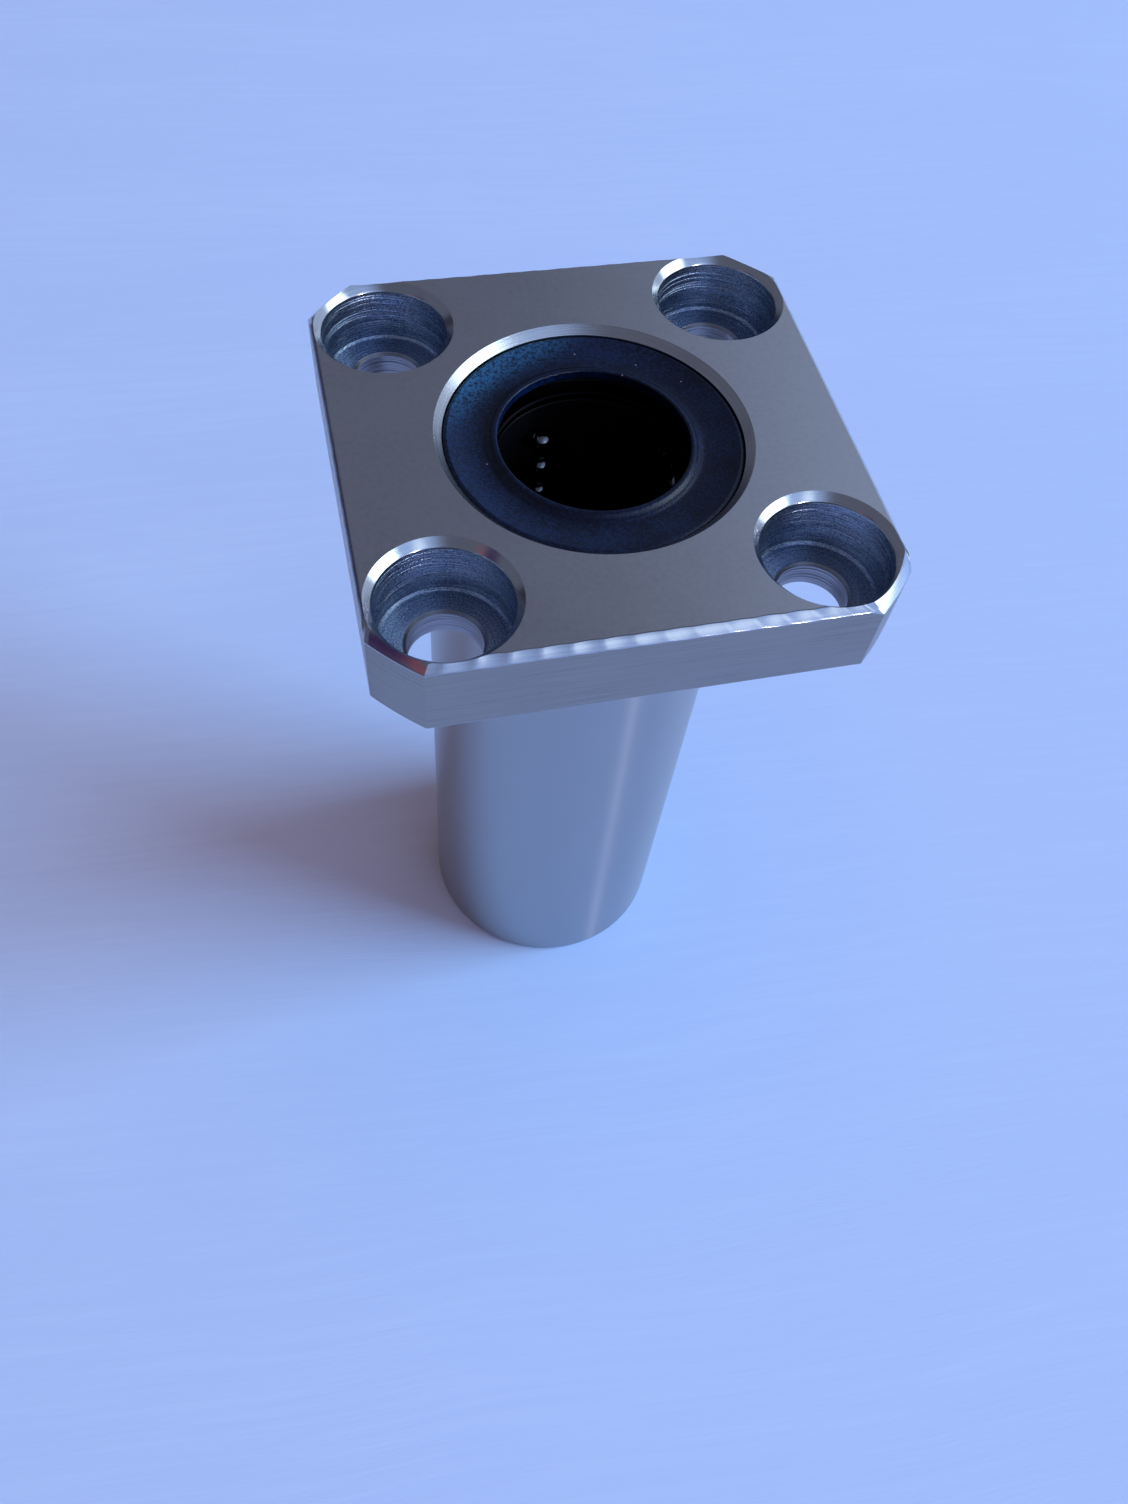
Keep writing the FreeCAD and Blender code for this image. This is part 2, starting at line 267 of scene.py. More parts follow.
@dataclass(frozen=True)
class SteelFinish:
    """A machined, ground or polished steel face.

    Attributes:
        name: material name.
        tint: colour that the metal reflects.
        smooth: roughness of its brightest parts.
        rough: roughness of its dullest parts.
        lay: which way the tool's marks run.
        mark_width: width of a mark in millimetres.
        mark_depth: depth of the marks.
        grain_depth: depth of the fine grain between them.
        shade: how much darker the marks' floors are, from 0 to 1.
        shade_colour: painted shade of the marks' floors, a colour in place of the darker tint, if given.
        specks: share of the tiny cells that hold a pale speck.
        speckle: how far the fine grain shows in the colour too, from 0 to 1.
        stretch: how far grinding draws the highlights out across its marks, from 0 to 1.
        hole_place: distance of the bolt holes from the flange's middle lines.
        along: features to the millimetre along a mark.
        grain_scale: features of the fine grain to the millimetre.
        cloud_scale: features of the broad unevenness to the millimetre.
        speck_scale: cells to the millimetre.
        speck_colour: colour of a speck.
    """

    name: str
    tint: Colour
    smooth: float
    rough: float
    lay: Lay
    mark_width: float
    mark_depth: float
    grain_depth: float
    shade: float = 0.2
    shade_colour: Colour | None = None
    specks: float = 0.0
    speckle: float = 0.0
    stretch: float = 0.0
    hole_place: float = 11.3137
    along: float = 0.12
    grain_scale: float = 9.0
    cloud_scale: float = 0.16
    speck_scale: float = 1.3
    speck_colour: Colour = (0.92, 0.94, 0.98)

    def marks(self, graph: SurfaceGraph) -> Signal:
        """Relief of the tool's marks.

        Args:
            graph: the material's tree.

        Returns:
            A height from 0 to 1.
        """
        across = 1.0 / self.mark_width
        x, y, z = graph.x, graph.y, graph.z
        if self.lay is Lay.EVEN:
            return graph.noise(graph.place, across, detail=3.0, rough=0.6)
        rise = z
        if self.lay is Lay.AROUND_SHAFT:
            rise = z + distance(x, y)
        elif self.lay is Lay.AROUND_HOLES:
            rise = z + distance(abs(x) - self.hole_place, abs(y) - self.hole_place)
        # Noise that is dense across the marks and drawn out along them.
        spot = graph.vector(x * self.along, y * self.along, rise * across)
        return graph.noise(spot, 1.0, detail=3.0, rough=0.65)

    def material(self) -> bpy.types.Material:
        """Builds the finish.

        Returns:
            The material.
        """
        graph = SurfaceGraph(self.name)
        marks = self.marks(graph)
        grain = graph.noise(graph.place, self.grain_scale, detail=2.0, rough=0.7)
        cloud = graph.noise(graph.place, self.cloud_scale, detail=3.0, rough=0.55)
        dull = (0.45 * marks + 0.25 * grain + 0.5 * cloud).step(0.3, 0.9)
        roughness = self.smooth + (self.rough - self.smooth) * dull
        # The marks' floors get painted shade, the tint made darker or the given shade colour; the cloud
        # varies it at random.
        deep = self.shade_colour or tuple(channel * (1.0 - self.shade) for channel in self.tint)
        tone = (1.0 - self.speckle) * (0.7 * marks + 0.3 * cloud) + self.speckle * grain
        colour = graph.mix(deep, self.tint, tone.step(0.25 + 0.15 * self.speckle, 0.65))
        if self.specks:
            speck = graph.specks(self.speck_scale, self.specks)
            colour = graph.mix(colour, self.speck_colour, 0.75 * speck)
            roughness = roughness + 0.25 * speck
        share = self.mark_depth / (self.mark_depth + self.grain_depth)
        relief = share * marks + (1.0 - share) * grain
        normal = graph.bump(relief, self.mark_depth + self.grain_depth)
        shine = {"Metallic": 1.0, "Anisotropic": self.stretch, "Anisotropic Rotation": ACROSS_MARKS}
        return graph.finish({"Base Color": colour, "Roughness": roughness, "Normal": normal, **shine})


@dataclass(frozen=True)
class RubberFinish:
    """Moulded black rubber with a faint blue bloom and a painted patch of light on one side of its rim.

    Attributes:
        name: material name.
        body: colour of the plain rubber.
        bloom: colour of the paler bloom on it.
        lit_colour: colour of the painted patch of light on the rim.
        lip_radius: radius within which the lip is rubbed smoother.
        lip_blend: width of the change to the smoother lip.
        rim_zone: radii over which the bloom grows a little stronger and the painted patch of light sets in,
            towards the rim.
        lit_way: level direction towards which the painted patch of light lies.
        lit_reach: distances that way between which the painted patch of light sets in.
        mottle_scale: features of the mottled bloom to the millimetre.
        cloud_scale: features of the broad unevenness to the millimetre.
        line_scale: fine moulded lines to the millimetre.
        line_along: features along such a line to the millimetre.
        specks: share of the tiny cells that hold a pale speck.
        speck_scale: cells to the millimetre.
        speck_colour: colour of a speck.
        relief: depth of its relief.
        sheen: specular level.
    """

    name: str
    body: Colour
    bloom: Colour
    lit_colour: Colour
    lip_radius: float = 6.7
    lip_blend: float = 0.25
    rim_zone: Pair = (6.9, 8.3)
    lit_way: Pair = (-0.57, 0.82)
    lit_reach: Pair = (6.0, 9.2)
    mottle_scale: float = 5.0
    cloud_scale: float = 0.35
    line_scale: float = 7.0
    line_along: float = 0.05
    specks: float = 0.08
    speck_scale: float = 1.6
    speck_colour: Colour = (0.30, 0.33, 0.40)
    relief: float = 0.03
    sheen: float = 0.35

    def material(self) -> bpy.types.Material:
        """Builds the finish.

        Returns:
            The material.
        """
        graph = SurfaceGraph(self.name)
        mottle = graph.noise(graph.place, self.mottle_scale, detail=4.0, rough=0.75)
        cloud = graph.noise(graph.place, self.cloud_scale)
        radius = distance(graph.x, graph.y)
        outward = radius.step(*self.rim_zone)
        bloom = (0.75 * mottle + 0.25 * cloud + 0.05 * outward).step(0.44, 0.68)
        colour = graph.mix(self.body, self.bloom, bloom)
        # A painted patch of light on the rim, towards -X and +Y, broken up by the mottle.
        way_x, way_y = self.lit_way
        lit_patch = (way_y * graph.y + way_x * graph.x).step(*self.lit_reach) * outward
        colour = graph.mix(colour, self.lit_colour, 0.8 * lit_patch * mottle.step(0.35, 0.6))
        speck = graph.specks(self.speck_scale, self.specks)
        colour = graph.mix(colour, self.speck_colour, 0.6 * speck)
        at_lip = radius.step(self.lip_radius + self.lip_blend, self.lip_radius)
        roughness = 0.32 + 0.10 * mottle - 0.08 * at_lip
        along = self.line_along
        line_spot = graph.vector(graph.x * along, graph.y * along, radius * self.line_scale)
        lines = graph.noise(line_spot, 1.0)
        normal = graph.bump(0.7 * mottle + 0.3 * lines, self.relief)
        sockets = {"Base Color": colour, "Roughness": roughness, "Normal": normal}
        return graph.finish({**sockets, "Specular IOR Level": self.sheen})


@dataclass(frozen=True)
class ResinFinish:
    """Black moulded resin of the retainers.

    Attributes:
        name: material name.
        body: colour of the resin.
        pale_gain: how much paler its flow lines are.
        flow_scale: flow lines to the millimetre.
        flow_stretch: share of that scale which holds along the shaft.
        grain_scale: features of the fine grain to the millimetre.
        relief: depth of its relief.
        sheen: specular level.
    """

    name: str
    body: Colour
    pale_gain: float = 2.2
    flow_scale: float = 0.9
    flow_stretch: float = 0.25
    grain_scale: float = 6.0
    relief: float = 0.02
    sheen: float = 0.06

    def material(self) -> bpy.types.Material:
        """Builds the finish.

        Returns:
            The material.
        """
        graph = SurfaceGraph(self.name)
        stretched = graph.vector(graph.x, graph.y, graph.z * self.flow_stretch)
        flow = graph.noise(stretched, self.flow_scale, detail=3.0, rough=0.6)
        grain = graph.noise(graph.place, self.grain_scale, detail=3.0, rough=0.6)
        paler = tuple(self.pale_gain * channel for channel in self.body)
        colour = graph.mix(self.body, paler, (0.6 * flow + 0.4 * grain).step(0.4, 0.75))
        roughness = 0.3 + 0.22 * grain
        normal = graph.bump(0.5 * flow + 0.5 * grain, self.relief)
        sockets = {"Base Color": colour, "Roughness": roughness, "Normal": normal}
        return graph.finish({**sockets, "Specular IOR Level": self.sheen})


@dataclass(frozen=True)
class FloorFinish:
    """Pale painted board under the bearing.

    Attributes:
        name: material name.
        paint: colour of the paint.
        grain: colour along the faint lines of the board's grain.
        grain_turn: angle of the grain to X, in degrees.
        sway_scale: bends of the grain to the millimetre.
        fibre_scale: features of the fine fibres to the millimetre, along and across the grain.
        fibre_sway: how far the bends carry the fibres.
        band_scale: features of the broad bands to the millimetre, along and across the grain.
        band_sway: how far the bends carry the bands.
        band_level: level of the noise that the bands are read at, apart from the fibres' own.
        relief: depth of the grain.
        sheen: specular level.
    """

    name: str
    paint: Colour
    grain: Colour
    grain_turn: float = 4.0
    sway_scale: float = 0.012
    fibre_scale: Pair = (0.05, 0.9)
    fibre_sway: float = 9.0
    band_scale: Pair = (0.006, 0.05)
    band_sway: float = 2.0
    band_level: float = 3.0
    relief: float = 0.05
    sheen: float = 0.06

    def material(self) -> bpy.types.Material:
        """Builds the finish.

        Returns:
            The material.
        """
        graph = SurfaceGraph(self.name)
        turned = {"Vector": graph.place, "Rotation": (0.0, 0.0, math.radians(self.grain_turn))}
        spot = graph.node("ShaderNodeMapping", None, turned)
        x = graph.node("ShaderNodeSeparateXYZ", None, {0: spot})
        y = x.also(1)
        sway = graph.noise(spot, self.sway_scale)
        along, across = self.fibre_scale
        fibre_spot = graph.vector(x * along, y * across + self.fibre_sway * sway, 0.0)
        fibre = graph.noise(fibre_spot, 1.0, detail=4.0, rough=0.7)
        along, across = self.band_scale
        band_spot = graph.vector(x * along, y * across + self.band_sway * sway, self.band_level)
        band = graph.noise(band_spot, 1.0)
        line = (0.6 * fibre + 0.4 * band).step(0.42, 0.7)
        colour = graph.mix(self.paint, self.grain, line)
        normal = graph.bump(fibre, self.relief)
        sockets = {"Base Color": colour, "Roughness": 0.65 + 0.1 * line, "Normal": normal}
        return graph.finish({**sockets, "Specular IOR Level": self.sheen})


class Face(Enum):
    """Finished faces of the flanged sleeve, in the order of its material slots."""

    GROUND = 0
    SIDE = 1
    BEVEL = 2
    BARREL = 3
    SEAT = 4
    BORE = 5
    CUT = 6
    HOLE_EDGE = 7
    DRILLED = 8


SLEEVE_FINISHES: dict[Face, SteelFinish] = {
    Face.GROUND: SteelFinish(
        "flange_face_ground", (0.63, 0.63, 0.655), smooth=0.26, rough=0.34, lay=Lay.EVEN,
        mark_width=0.35, mark_depth=0.002, grain_depth=0.002, shade=0.09,
    ),
    Face.SIDE: SteelFinish(
        "flange_side_milled", (0.37, 0.348, 0.327), smooth=0.24, rough=0.38, lay=Lay.ALONG_SIDES,
        mark_width=0.14, mark_depth=0.004, grain_depth=0.001,
    ),
    Face.BEVEL: SteelFinish(
        "edge_bevel_bright", (0.55, 0.56, 0.61), smooth=0.13, rough=0.22, lay=Lay.ALONG_SIDES,
        mark_width=0.12, mark_depth=0.003, grain_depth=0.001, shade=0.15,
    ),
    Face.BARREL: SteelFinish(
        "barrel_ground", (0.44, 0.445, 0.455), smooth=0.185, rough=0.205, lay=Lay.AROUND_SHAFT,
        mark_width=0.10, mark_depth=0.0003, grain_depth=0.0002, shade=0.04, stretch=1.0,
    ),
    Face.SEAT: SteelFinish(
        "seal_seat_turned", (0.64, 0.64, 0.65), smooth=0.16, rough=0.32, lay=Lay.AROUND_SHAFT,
        mark_width=0.06, mark_depth=0.006, grain_depth=0.002, shade=0.3,
    ),
    Face.BORE: SteelFinish(
        "raceway_honed", (0.46, 0.47, 0.48), smooth=0.20, rough=0.34, lay=Lay.AROUND_SHAFT,
        mark_width=0.10, mark_depth=0.002, grain_depth=0.001, shade=0.15,
    ),
    # The navy in its marks' floors is painted shade inside the counterbores.
    Face.CUT: SteelFinish(
        "counterbore_cut", (0.58, 0.65, 0.76), smooth=0.22, rough=0.36, lay=Lay.AROUND_HOLES,
        mark_width=0.07, mark_depth=0.016, grain_depth=0.016,
        shade_colour=(0.09, 0.15, 0.27), specks=0.14, speckle=0.6,
    ),
    Face.HOLE_EDGE: SteelFinish(
        "hole_edge_turned", (0.62, 0.63, 0.65), smooth=0.13, rough=0.22, lay=Lay.AROUND_HOLES,
        mark_width=0.07, mark_depth=0.003, grain_depth=0.001, shade=0.15,
    ),
    Face.DRILLED: SteelFinish(
        "bolt_hole_drilled", (0.40, 0.39, 0.43), smooth=0.30, rough=0.48, lay=Lay.AROUND_HOLES,
        mark_width=0.12, mark_depth=0.014, grain_depth=0.006, shade=0.5,
    ),
}
# The seal's last colour is the painted patch of light on its rim, towards -X and +Y.
SEAL_FINISH = RubberFinish(
    "seal_rubber_black", (0.0003, 0.002, 0.011), bloom=(0.002, 0.012, 0.046), lit_colour=(0.010, 0.085, 0.190)
)
RETAINER_FINISH = ResinFinish("retainer_resin_black", (0.002, 0.002, 0.0025))
SPRING_FINISH = SteelFinish(
    "snap_ring_blued", (0.16, 0.17, 0.20), smooth=0.26, rough=0.42, lay=Lay.AROUND_SHAFT,
    mark_width=0.12, mark_depth=0.004, grain_depth=0.002, shade=0.3,
)
# Near black: a dark finish with the shade deep in the bore painted into it.
END_RING_FINISH = SteelFinish(
    "end_ring_dark_shaded", (0.004, 0.004, 0.005), smooth=0.30, rough=0.45, lay=Lay.AROUND_SHAFT,
    mark_width=0.16, mark_depth=0.003, grain_depth=0.002, shade=0.3,
)
BALL_FINISH = SteelFinish(
    "ball_polished", (0.22, 0.22, 0.23), smooth=0.05, rough=0.10, lay=Lay.EVEN,
    mark_width=0.25, mark_depth=0.0004, grain_depth=0.0003, shade=0.06,
)
FLOOR_FINISH = FloorFinish("board_painted", (0.36, 0.515, 0.80), grain=(0.38, 0.54, 0.82))


class Skin:
    """A mesh in the making, in millimetres, from rings of points."""

    def __init__(self) -> None:
        """Starts an empty mesh."""
        self.mesh = bmesh.new()

    def ring(self, points: Iterable[Place]) -> list[bmesh.types.BMVert]:
        """Adds one closed ring of points."""
        return [self.mesh.verts.new(point) for point in points]

    def strip(self, first: Ring, second: Ring, face: int = 0) -> None:
        """Joins two rings of equal count by a band of quads.

        Args:
            first: vertices of one ring.
            second: vertices of the next ring.
            face: material slot of the band.
        """
        count = len(first)
        for i in range(count):
            after = (i + 1) % count
            quad = self.mesh.faces.new((first[i], first[after], second[after], second[i]))
            quad.material_index = face

    def sheet(self, outer: Ring, inner: Ring, face: int = 0) -> None:
        """Fills the flat ring between an outline and a hole in it.

        Args:
            outer: vertices of the outline.
            inner: vertices of the hole.
            face: material slot of the sheet.
        """
        corners = list(outer) + list(inner)
        spots = [Vector(corner.co[:2]) for corner in corners]
        rings = (range(len(outer)), range(len(outer), len(corners)))
        edges = [(ring[i - 1], ring[i]) for ring in rings for i in range(len(ring))]
        reach = max(Vector(v.co[:2]).length for v in inner)
        filled = delaunay_2d_cdt(spots, edges, [], INSIDE_EDGES, FLAT_TOLERANCE)
        triangles, origins = filled[2:4]
        for triangle in triangles:
            picked = [corners[origins[i][0]] for i in triangle]
            middle = sum((v.co for v in picked), Vector()) / len(picked)
            # A triangle with all its corners on the hole's ring lies in the hole, so it is left out.
            if middle.to_2d().length > reach or any(i < len(outer) for i in triangle):
                self.mesh.faces.new(picked).material_index = face

    def cap(self, ring: Ring, height: float, face: int = 0) -> None:
        """Closes a ring round the axis with a fan.

        Args:
            ring: vertices of the ring.
            height: height of the point in the fan's middle.
            face: material slot of the fan.
        """
        middle = sum((v.co for v in ring), Vector()) / len(ring)
        tip = self.mesh.verts.new((middle.x, middle.y, height))
        for i in range(len(ring)):
            self.mesh.faces.new((ring[i - 1], ring[i], tip)).material_index = face

    def finish(self, name: str, scale: float = METRE) -> bpy.types.Mesh:
        """Welds, turns the faces outwards and makes the mesh.

        Args:
            name: name of the mesh.
            scale: length of a millimetre in the mesh's own unit.

        Returns:
            The mesh, smooth between its sharp edges.
        """
        bmesh.ops.remove_doubles(self.mesh, verts=self.mesh.verts[:], dist=WELD_DISTANCE)
        bmesh.ops.recalc_face_normals(self.mesh, faces=self.mesh.faces[:])
        made = bpy.data.meshes.new(name)
        self.mesh.to_mesh(made)
        self.mesh.free()
        made.transform(Matrix.Scale(scale, 4))
        shade(made)
        return made


def shade(mesh: bpy.types.Mesh) -> None:
    """Smooths a mesh and keeps its sharp edges."""
    mesh.shade_smooth()
    mesh.set_sharp_from_angle(angle=SHARP_ANGLE)


def circle(radius: float, height: float, count: int, first: float = 0.0) -> list[Place]:
    """Points of a level circle round the shaft axis.

    Args:
        radius: radius of the circle.
        height: its height.
        count: number of points.
        first: angle of the first point in radians.

    Returns:
        The points, counter-clockwise.
    """
    angles = [first + math.tau * i / count for i in range(count)]
    return [(radius * math.cos(a), radius * math.sin(a), height) for a in angles]


def new_piece(name: str, mesh: bpy.types.Mesh) -> bpy.types.Object:
    """Puts a mesh into the scene at the origin.

    Args:
        name: name of the piece.
        mesh: its mesh.

    Returns:
        The piece.
    """
    piece = bpy.data.objects.new(name, mesh)
    bpy.context.scene.collection.objects.link(piece)
    return piece


class PieceTree:
    """A geometry node tree with named inputs, run on one object at a time."""

    def __init__(self, name: str, inputs: dict[str, str]) -> None:
        """Makes the tree.

        Args:
            name: name of the tree.
            inputs: socket type of each named input.
        """
        self.tree = bpy.data.node_groups.new(name, "GeometryNodeTree")
        new_socket = self.tree.interface.new_socket
        new_socket("Geometry", in_out="OUTPUT", socket_type="NodeSocketGeometry")
        kinds = {"Geometry": "NodeSocketGeometry", **inputs}
        self.identifiers = {
            label: new_socket(label, in_out="INPUT", socket_type=kind).identifier
            for label, kind in kinds.items()
        }
        self.graph = Graph(self.tree)
        self.source = self.graph.node("NodeGroupInput")

    def value(self, name: str) -> Signal:
        """One of the tree's inputs."""
        return self.source.also(name)

    def end(self, geometry: Signal) -> None:
        """Leads the finished geometry out of the tree."""
        self.graph.node("NodeGroupOutput", None, {0: geometry})

    def run(self, piece: bpy.types.Object, values: dict[str, object]) -> None:
        """Runs the tree on an object and leaves it with the plain result.

        Args:
            piece: object whose mesh goes into the tree.
            values: value of each named input.
        """
        modifier = piece.modifiers.new(self.tree.name, "NODES")
        modifier.node_group = self.tree
        for name, value in values.items():
            modifier[self.identifiers[name]] = value
        depsgraph = bpy.context.evaluated_depsgraph_get()
        mesh = bpy.data.meshes.new_from_object(piece.evaluated_get(depsgraph), depsgraph=depsgraph)
        piece.modifiers.clear()
        piece.data = mesh


@dataclass(frozen=True)
class DrillRow:
    """One level ring of points on a drill.

    Attributes:
        radius: radius of the ring.
        height: its height.
        face: finish of the band above it.
        hollow: share of its ridge's depth that it is moved outwards by.
        ridge: number of the ridge that it belongs to.
    """

    radius: float
    height: float
    face: Face
    hollow: float = 0.0
    ridge: int = 0


@dataclass
class BoltHoles:
    """The four counterbored holes, drilled into the flange by a node tree.

    Attributes:
        circle_radius: radius of the bolt circle.
        first_angle: angle of the first hole round the shaft, in degrees.
        count: number of holes.
        through_radius: radius of the through holes.
        sink_radius: radius of the counterbores.
        top: height of the flange's top face.
        floor: height of the counterbores' floors.
        bottom: height of the flange's underside.
        chamfer: edge chamfer of the counterbores.
        edge_round: radius where a counterbore's wall turns into its chamfer.
        small_chamfer: edge chamfers of the through holes.
        overrun: how far the drills stand out of the flange.
        corner: small slope that the cutter left between a counterbore's wall and floor.
        ridges: rings left by the cutter on a counterbore's wall.
        drill_ridges: rings left by the drill on a through hole's wall.
        ridge_rows: steps across one ring.
        ridge_depth: depth of the deepest ring.
        ridge_spread: share of that depth which the shallowest ring has.
        ridge_swing: share of a ring's depth that comes and goes round the hole.
        floor_rings: rings left on a counterbore's floor.
        floor_ring_depth: their depth.
        floor_ring_rows: steps across one of them.
        round_steps: steps of the rounded edge.
        wander: how far the rings wander.
        wander_scale: bends of a wandering ring to the millimetre.
        wander_seed: seed of the wandering.
        seed: seed of the rings' depths.
        segments: sides of a hole.
    """

    circle_radius: float = 16.0
    first_angle: float = 45.0
    count: int = 4
    through_radius: float = 2.25
    sink_radius: float = 4.0
    top: float = 57.0
    floor: float = 52.9
    bottom: float = 51.0
    chamfer: float = 0.48
    edge_round: float = 0.25
    small_chamfer: float = 0.2
    overrun: float = 0.3
    corner: float = 0.14
    ridges: int = 18
    drill_ridges: int = 6
    ridge_rows: int = 6
    ridge_depth: float = 0.045
    ridge_spread: float = 0.65
    ridge_swing: float = 0.35
    floor_rings: int = 5
    floor_ring_depth: float = 0.012
    floor_ring_rows: int = 4
    round_steps: int = 4
    wander: float = 0.02
    wander_scale: float = 0.9
    wander_seed: float = 3.0
    seed: int = 11
    segments: int = 96

    def ridged(
        self, radius: float, low: float, high: float, face: Face, first: int, count: int
    ) -> list[DrillRow]:
        """Rows of a wall with the rings that the tool left on it.

        Args:
            radius: radius of the wall.
            low: height of its lower end.
            high: height of its upper end.
            face: finish of the wall.
            first: number of its first ring.
            count: number of rings.

        Returns:
            The rows, from the lower end.
        """
        rows = []
        steps = count * self.ridge_rows
        for i in range(steps + 1):
            ridge, row = divmod(i, self.ridge_rows)
            hollow = 1.0 - (2.0 * row / self.ridge_rows - 1.0) ** 2
            rows.append(DrillRow(radius, low + (high - low) * i / steps, face, hollow, first + ridge))
        return rows

    def profile(self) -> list[DrillRow]:
        """Side of the drill from its lower end to its upper end.

        Returns:
            The rows.
        """
        hole, sink, over = self.through_radius, self.sink_radius, self.overrun
        edge, small = self.chamfer, self.small_chamfer
        rows = [DrillRow(hole + small + over, self.bottom - over, Face.HOLE_EDGE)]
        low, high = self.bottom + small, self.floor - small
        rows += self.ridged(hole, low, high, Face.DRILLED, 0, self.drill_ridges)
        inner, outer = hole + small, sink - self.corner
        steps = self.floor_rings * self.floor_ring_rows
        for i in range(steps + 1):
            share = i / steps
            dip = self.floor_ring_depth * math.sin(math.pi * share * self.floor_rings) ** 2
            rows.append(DrillRow(inner + (outer - inner) * share, self.floor - dip, Face.CUT))
        turn = self.edge_round
        low, high = self.floor + self.corner, self.top - edge - turn * math.tan(EIGHTH_TURN / 2)
        rows += self.ridged(sink, low, high, Face.CUT, self.drill_ridges + 1, self.ridges)[:-1]
        for i in range(self.round_steps + 1):
            angle = EIGHTH_TURN * i / self.round_steps
            radius = sink + turn * (1.0 - math.cos(angle))
            rows.append(DrillRow(radius, high + turn * math.sin(angle), Face.HOLE_EDGE))
        rows.append(DrillRow(sink + edge + over, self.top + over, Face.CUT))
        return rows

    def drill(self) -> bpy.types.Object:
        """One drill that stands on the shaft axis.

        Returns:
            An object whose faces carry a finish number and whose wall rows carry a ridge share.
        """
        skin = Skin()
        finish = skin.mesh.faces.layers.int.new("finish")
        ridge = skin.mesh.verts.layers.float.new("ridge")
        draw = random.Random(self.seed)
        rows = self.profile()
        count = 1 + max(row.ridge for row in rows)
        depths = [self.ridge_depth * draw.uniform(self.ridge_spread, 1.0) for _ in range(count)]
        turns = [draw.uniform(0.0, math.tau) for _ in range(count)]
        swing, steady = self.ridge_swing, 1.0 - self.ridge_swing
        rings = []
        for row in rows:
            ring = skin.ring(circle(row.radius, row.height, self.segments))
            for k, vertex in enumerate(ring):
                share = steady + swing * math.cos(math.tau * k / self.segments - turns[row.ridge])
                reach = 1.0 + row.hollow * depths[row.ridge] * share / row.radius
                vertex.co.x *= reach
                vertex.co.y *= reach
                vertex[ridge] = row.hollow
            rings.append(ring)
        for (low, high), row in zip(pairwise(rings), rows):
            skin.strip(low, high, row.face.value)
        for ring, row in ((rings[0], rows[0]), (rings[-1], rows[-1])):
            skin.cap(ring, row.height, Face.CUT.value)
        for face in skin.mesh.faces:
            face[finish] = face.material_index
            face.material_index = 0
        return new_piece("bolt_hole_drill", skin.finish("bolt_hole_drill", 1.0))

    def tree(self) -> PieceTree:
        """The tree that sets the drills round the bolt circle and cuts them out of the flange.

        Returns:
            A tree with the drill, the pattern's sizes, the seed and the three finishes as inputs.
        """
        inputs = {
            "Drill": "NodeSocketObject",
            "Count": "NodeSocketInt",
            "Circle Radius": "NodeSocketFloat",
            "First Angle": "NodeSocketFloat",
            "Wander": "NodeSocketFloat",
            "Seed": "NodeSocketFloat",
            "Cut Finish": "NodeSocketMaterial",
            "Edge Finish": "NodeSocketMaterial",
            "Drilled Finish": "NodeSocketMaterial",
        }
        made = PieceTree("bolt_holes", inputs)
        graph = made.graph
        ring = {"Vertices": made.value("Count"), "Radius": made.value("Circle Radius")}
        places = graph.node("GeometryNodeMeshCircle", None, ring)
        turn = graph.vector(0.0, 0.0, made.value("First Angle"))
        places = graph.node("GeometryNodeTransform", None, {"Geometry": places, "Rotation": turn})
        drill = graph.node("GeometryNodeObjectInfo", None, {"Object": made.value("Drill")}, "Geometry")
        quarter = graph.node("GeometryNodeInputIndex") * (math.tau / self.count)
        euler = graph.vector(0.0, 0.0, quarter)
        facing = graph.node("FunctionNodeEulerToRotation", None, {"Euler": euler})
        drills = {"Points": places, "Instance": drill, "Rotation": facing}
        drills = graph.node("GeometryNodeInstanceOnPoints", None, drills)
        drills = graph.node("GeometryNodeRealizeInstances", None, {0: drills})
        drills = self._wander(made, drills)
        cut = {"Mesh 1": made.value("Geometry"), "Mesh 2": drills}
        flange = graph.node("GeometryNodeMeshBoolean", {"operation": "DIFFERENCE", "solver": "EXACT"}, cut)
        flange = graph.node("GeometryNodeRealizeInstances", None, {0: flange})
        faces = {Face.CUT: "Cut Finish", Face.HOLE_EDGE: "Edge Finish", Face.DRILLED: "Drilled Finish"}
        for face, finish in faces.items():
            number = graph.node("GeometryNodeInputNamedAttribute", {"data_type": "INT"}, {"Name": "finish"})
            alike = {"data_type": "INT", "operation": "EQUAL"}
            chosen = graph.node("FunctionNodeCompare", alike, {2: number, 3: face.value})
            dressed = {"Geometry": flange, "Selection": chosen, "Material": made.value(finish)}
            flange = graph.node("GeometryNodeSetMaterial", None, dressed)
        made.end(flange)
        return made

    def _wander(self, made: PieceTree, drills: Signal) -> Signal:
        """Makes the rings of each hole wander a little, by noise of a fixed seed.

        Args:
            made: the tree in the making.
            drills: the drills, as plain geometry.

        Returns:
            The drills with uneven rings.
        """
        graph = made.graph
        ridge = graph.node("GeometryNodeInputNamedAttribute", {"data_type": "FLOAT"}, {"Name": "ridge"})
        place = graph.node("GeometryNodeInputPosition")
        spot = {"Vector": place, "W": made.value("Seed"), "Scale": self.wander_scale}
        noise = graph.node("ShaderNodeTexNoise", {"noise_dimensions": "4D"}, spot)
        reach = (noise - 0.5) * ridge * made.value("Wander")
        normal = {0: graph.node("GeometryNodeInputNormal"), "Scale": reach}
        offset = graph.node("ShaderNodeVectorMath", {"operation": "SCALE"}, normal)
        return graph.node("GeometryNodeSetPosition", None, {"Geometry": drills, "Offset": offset})


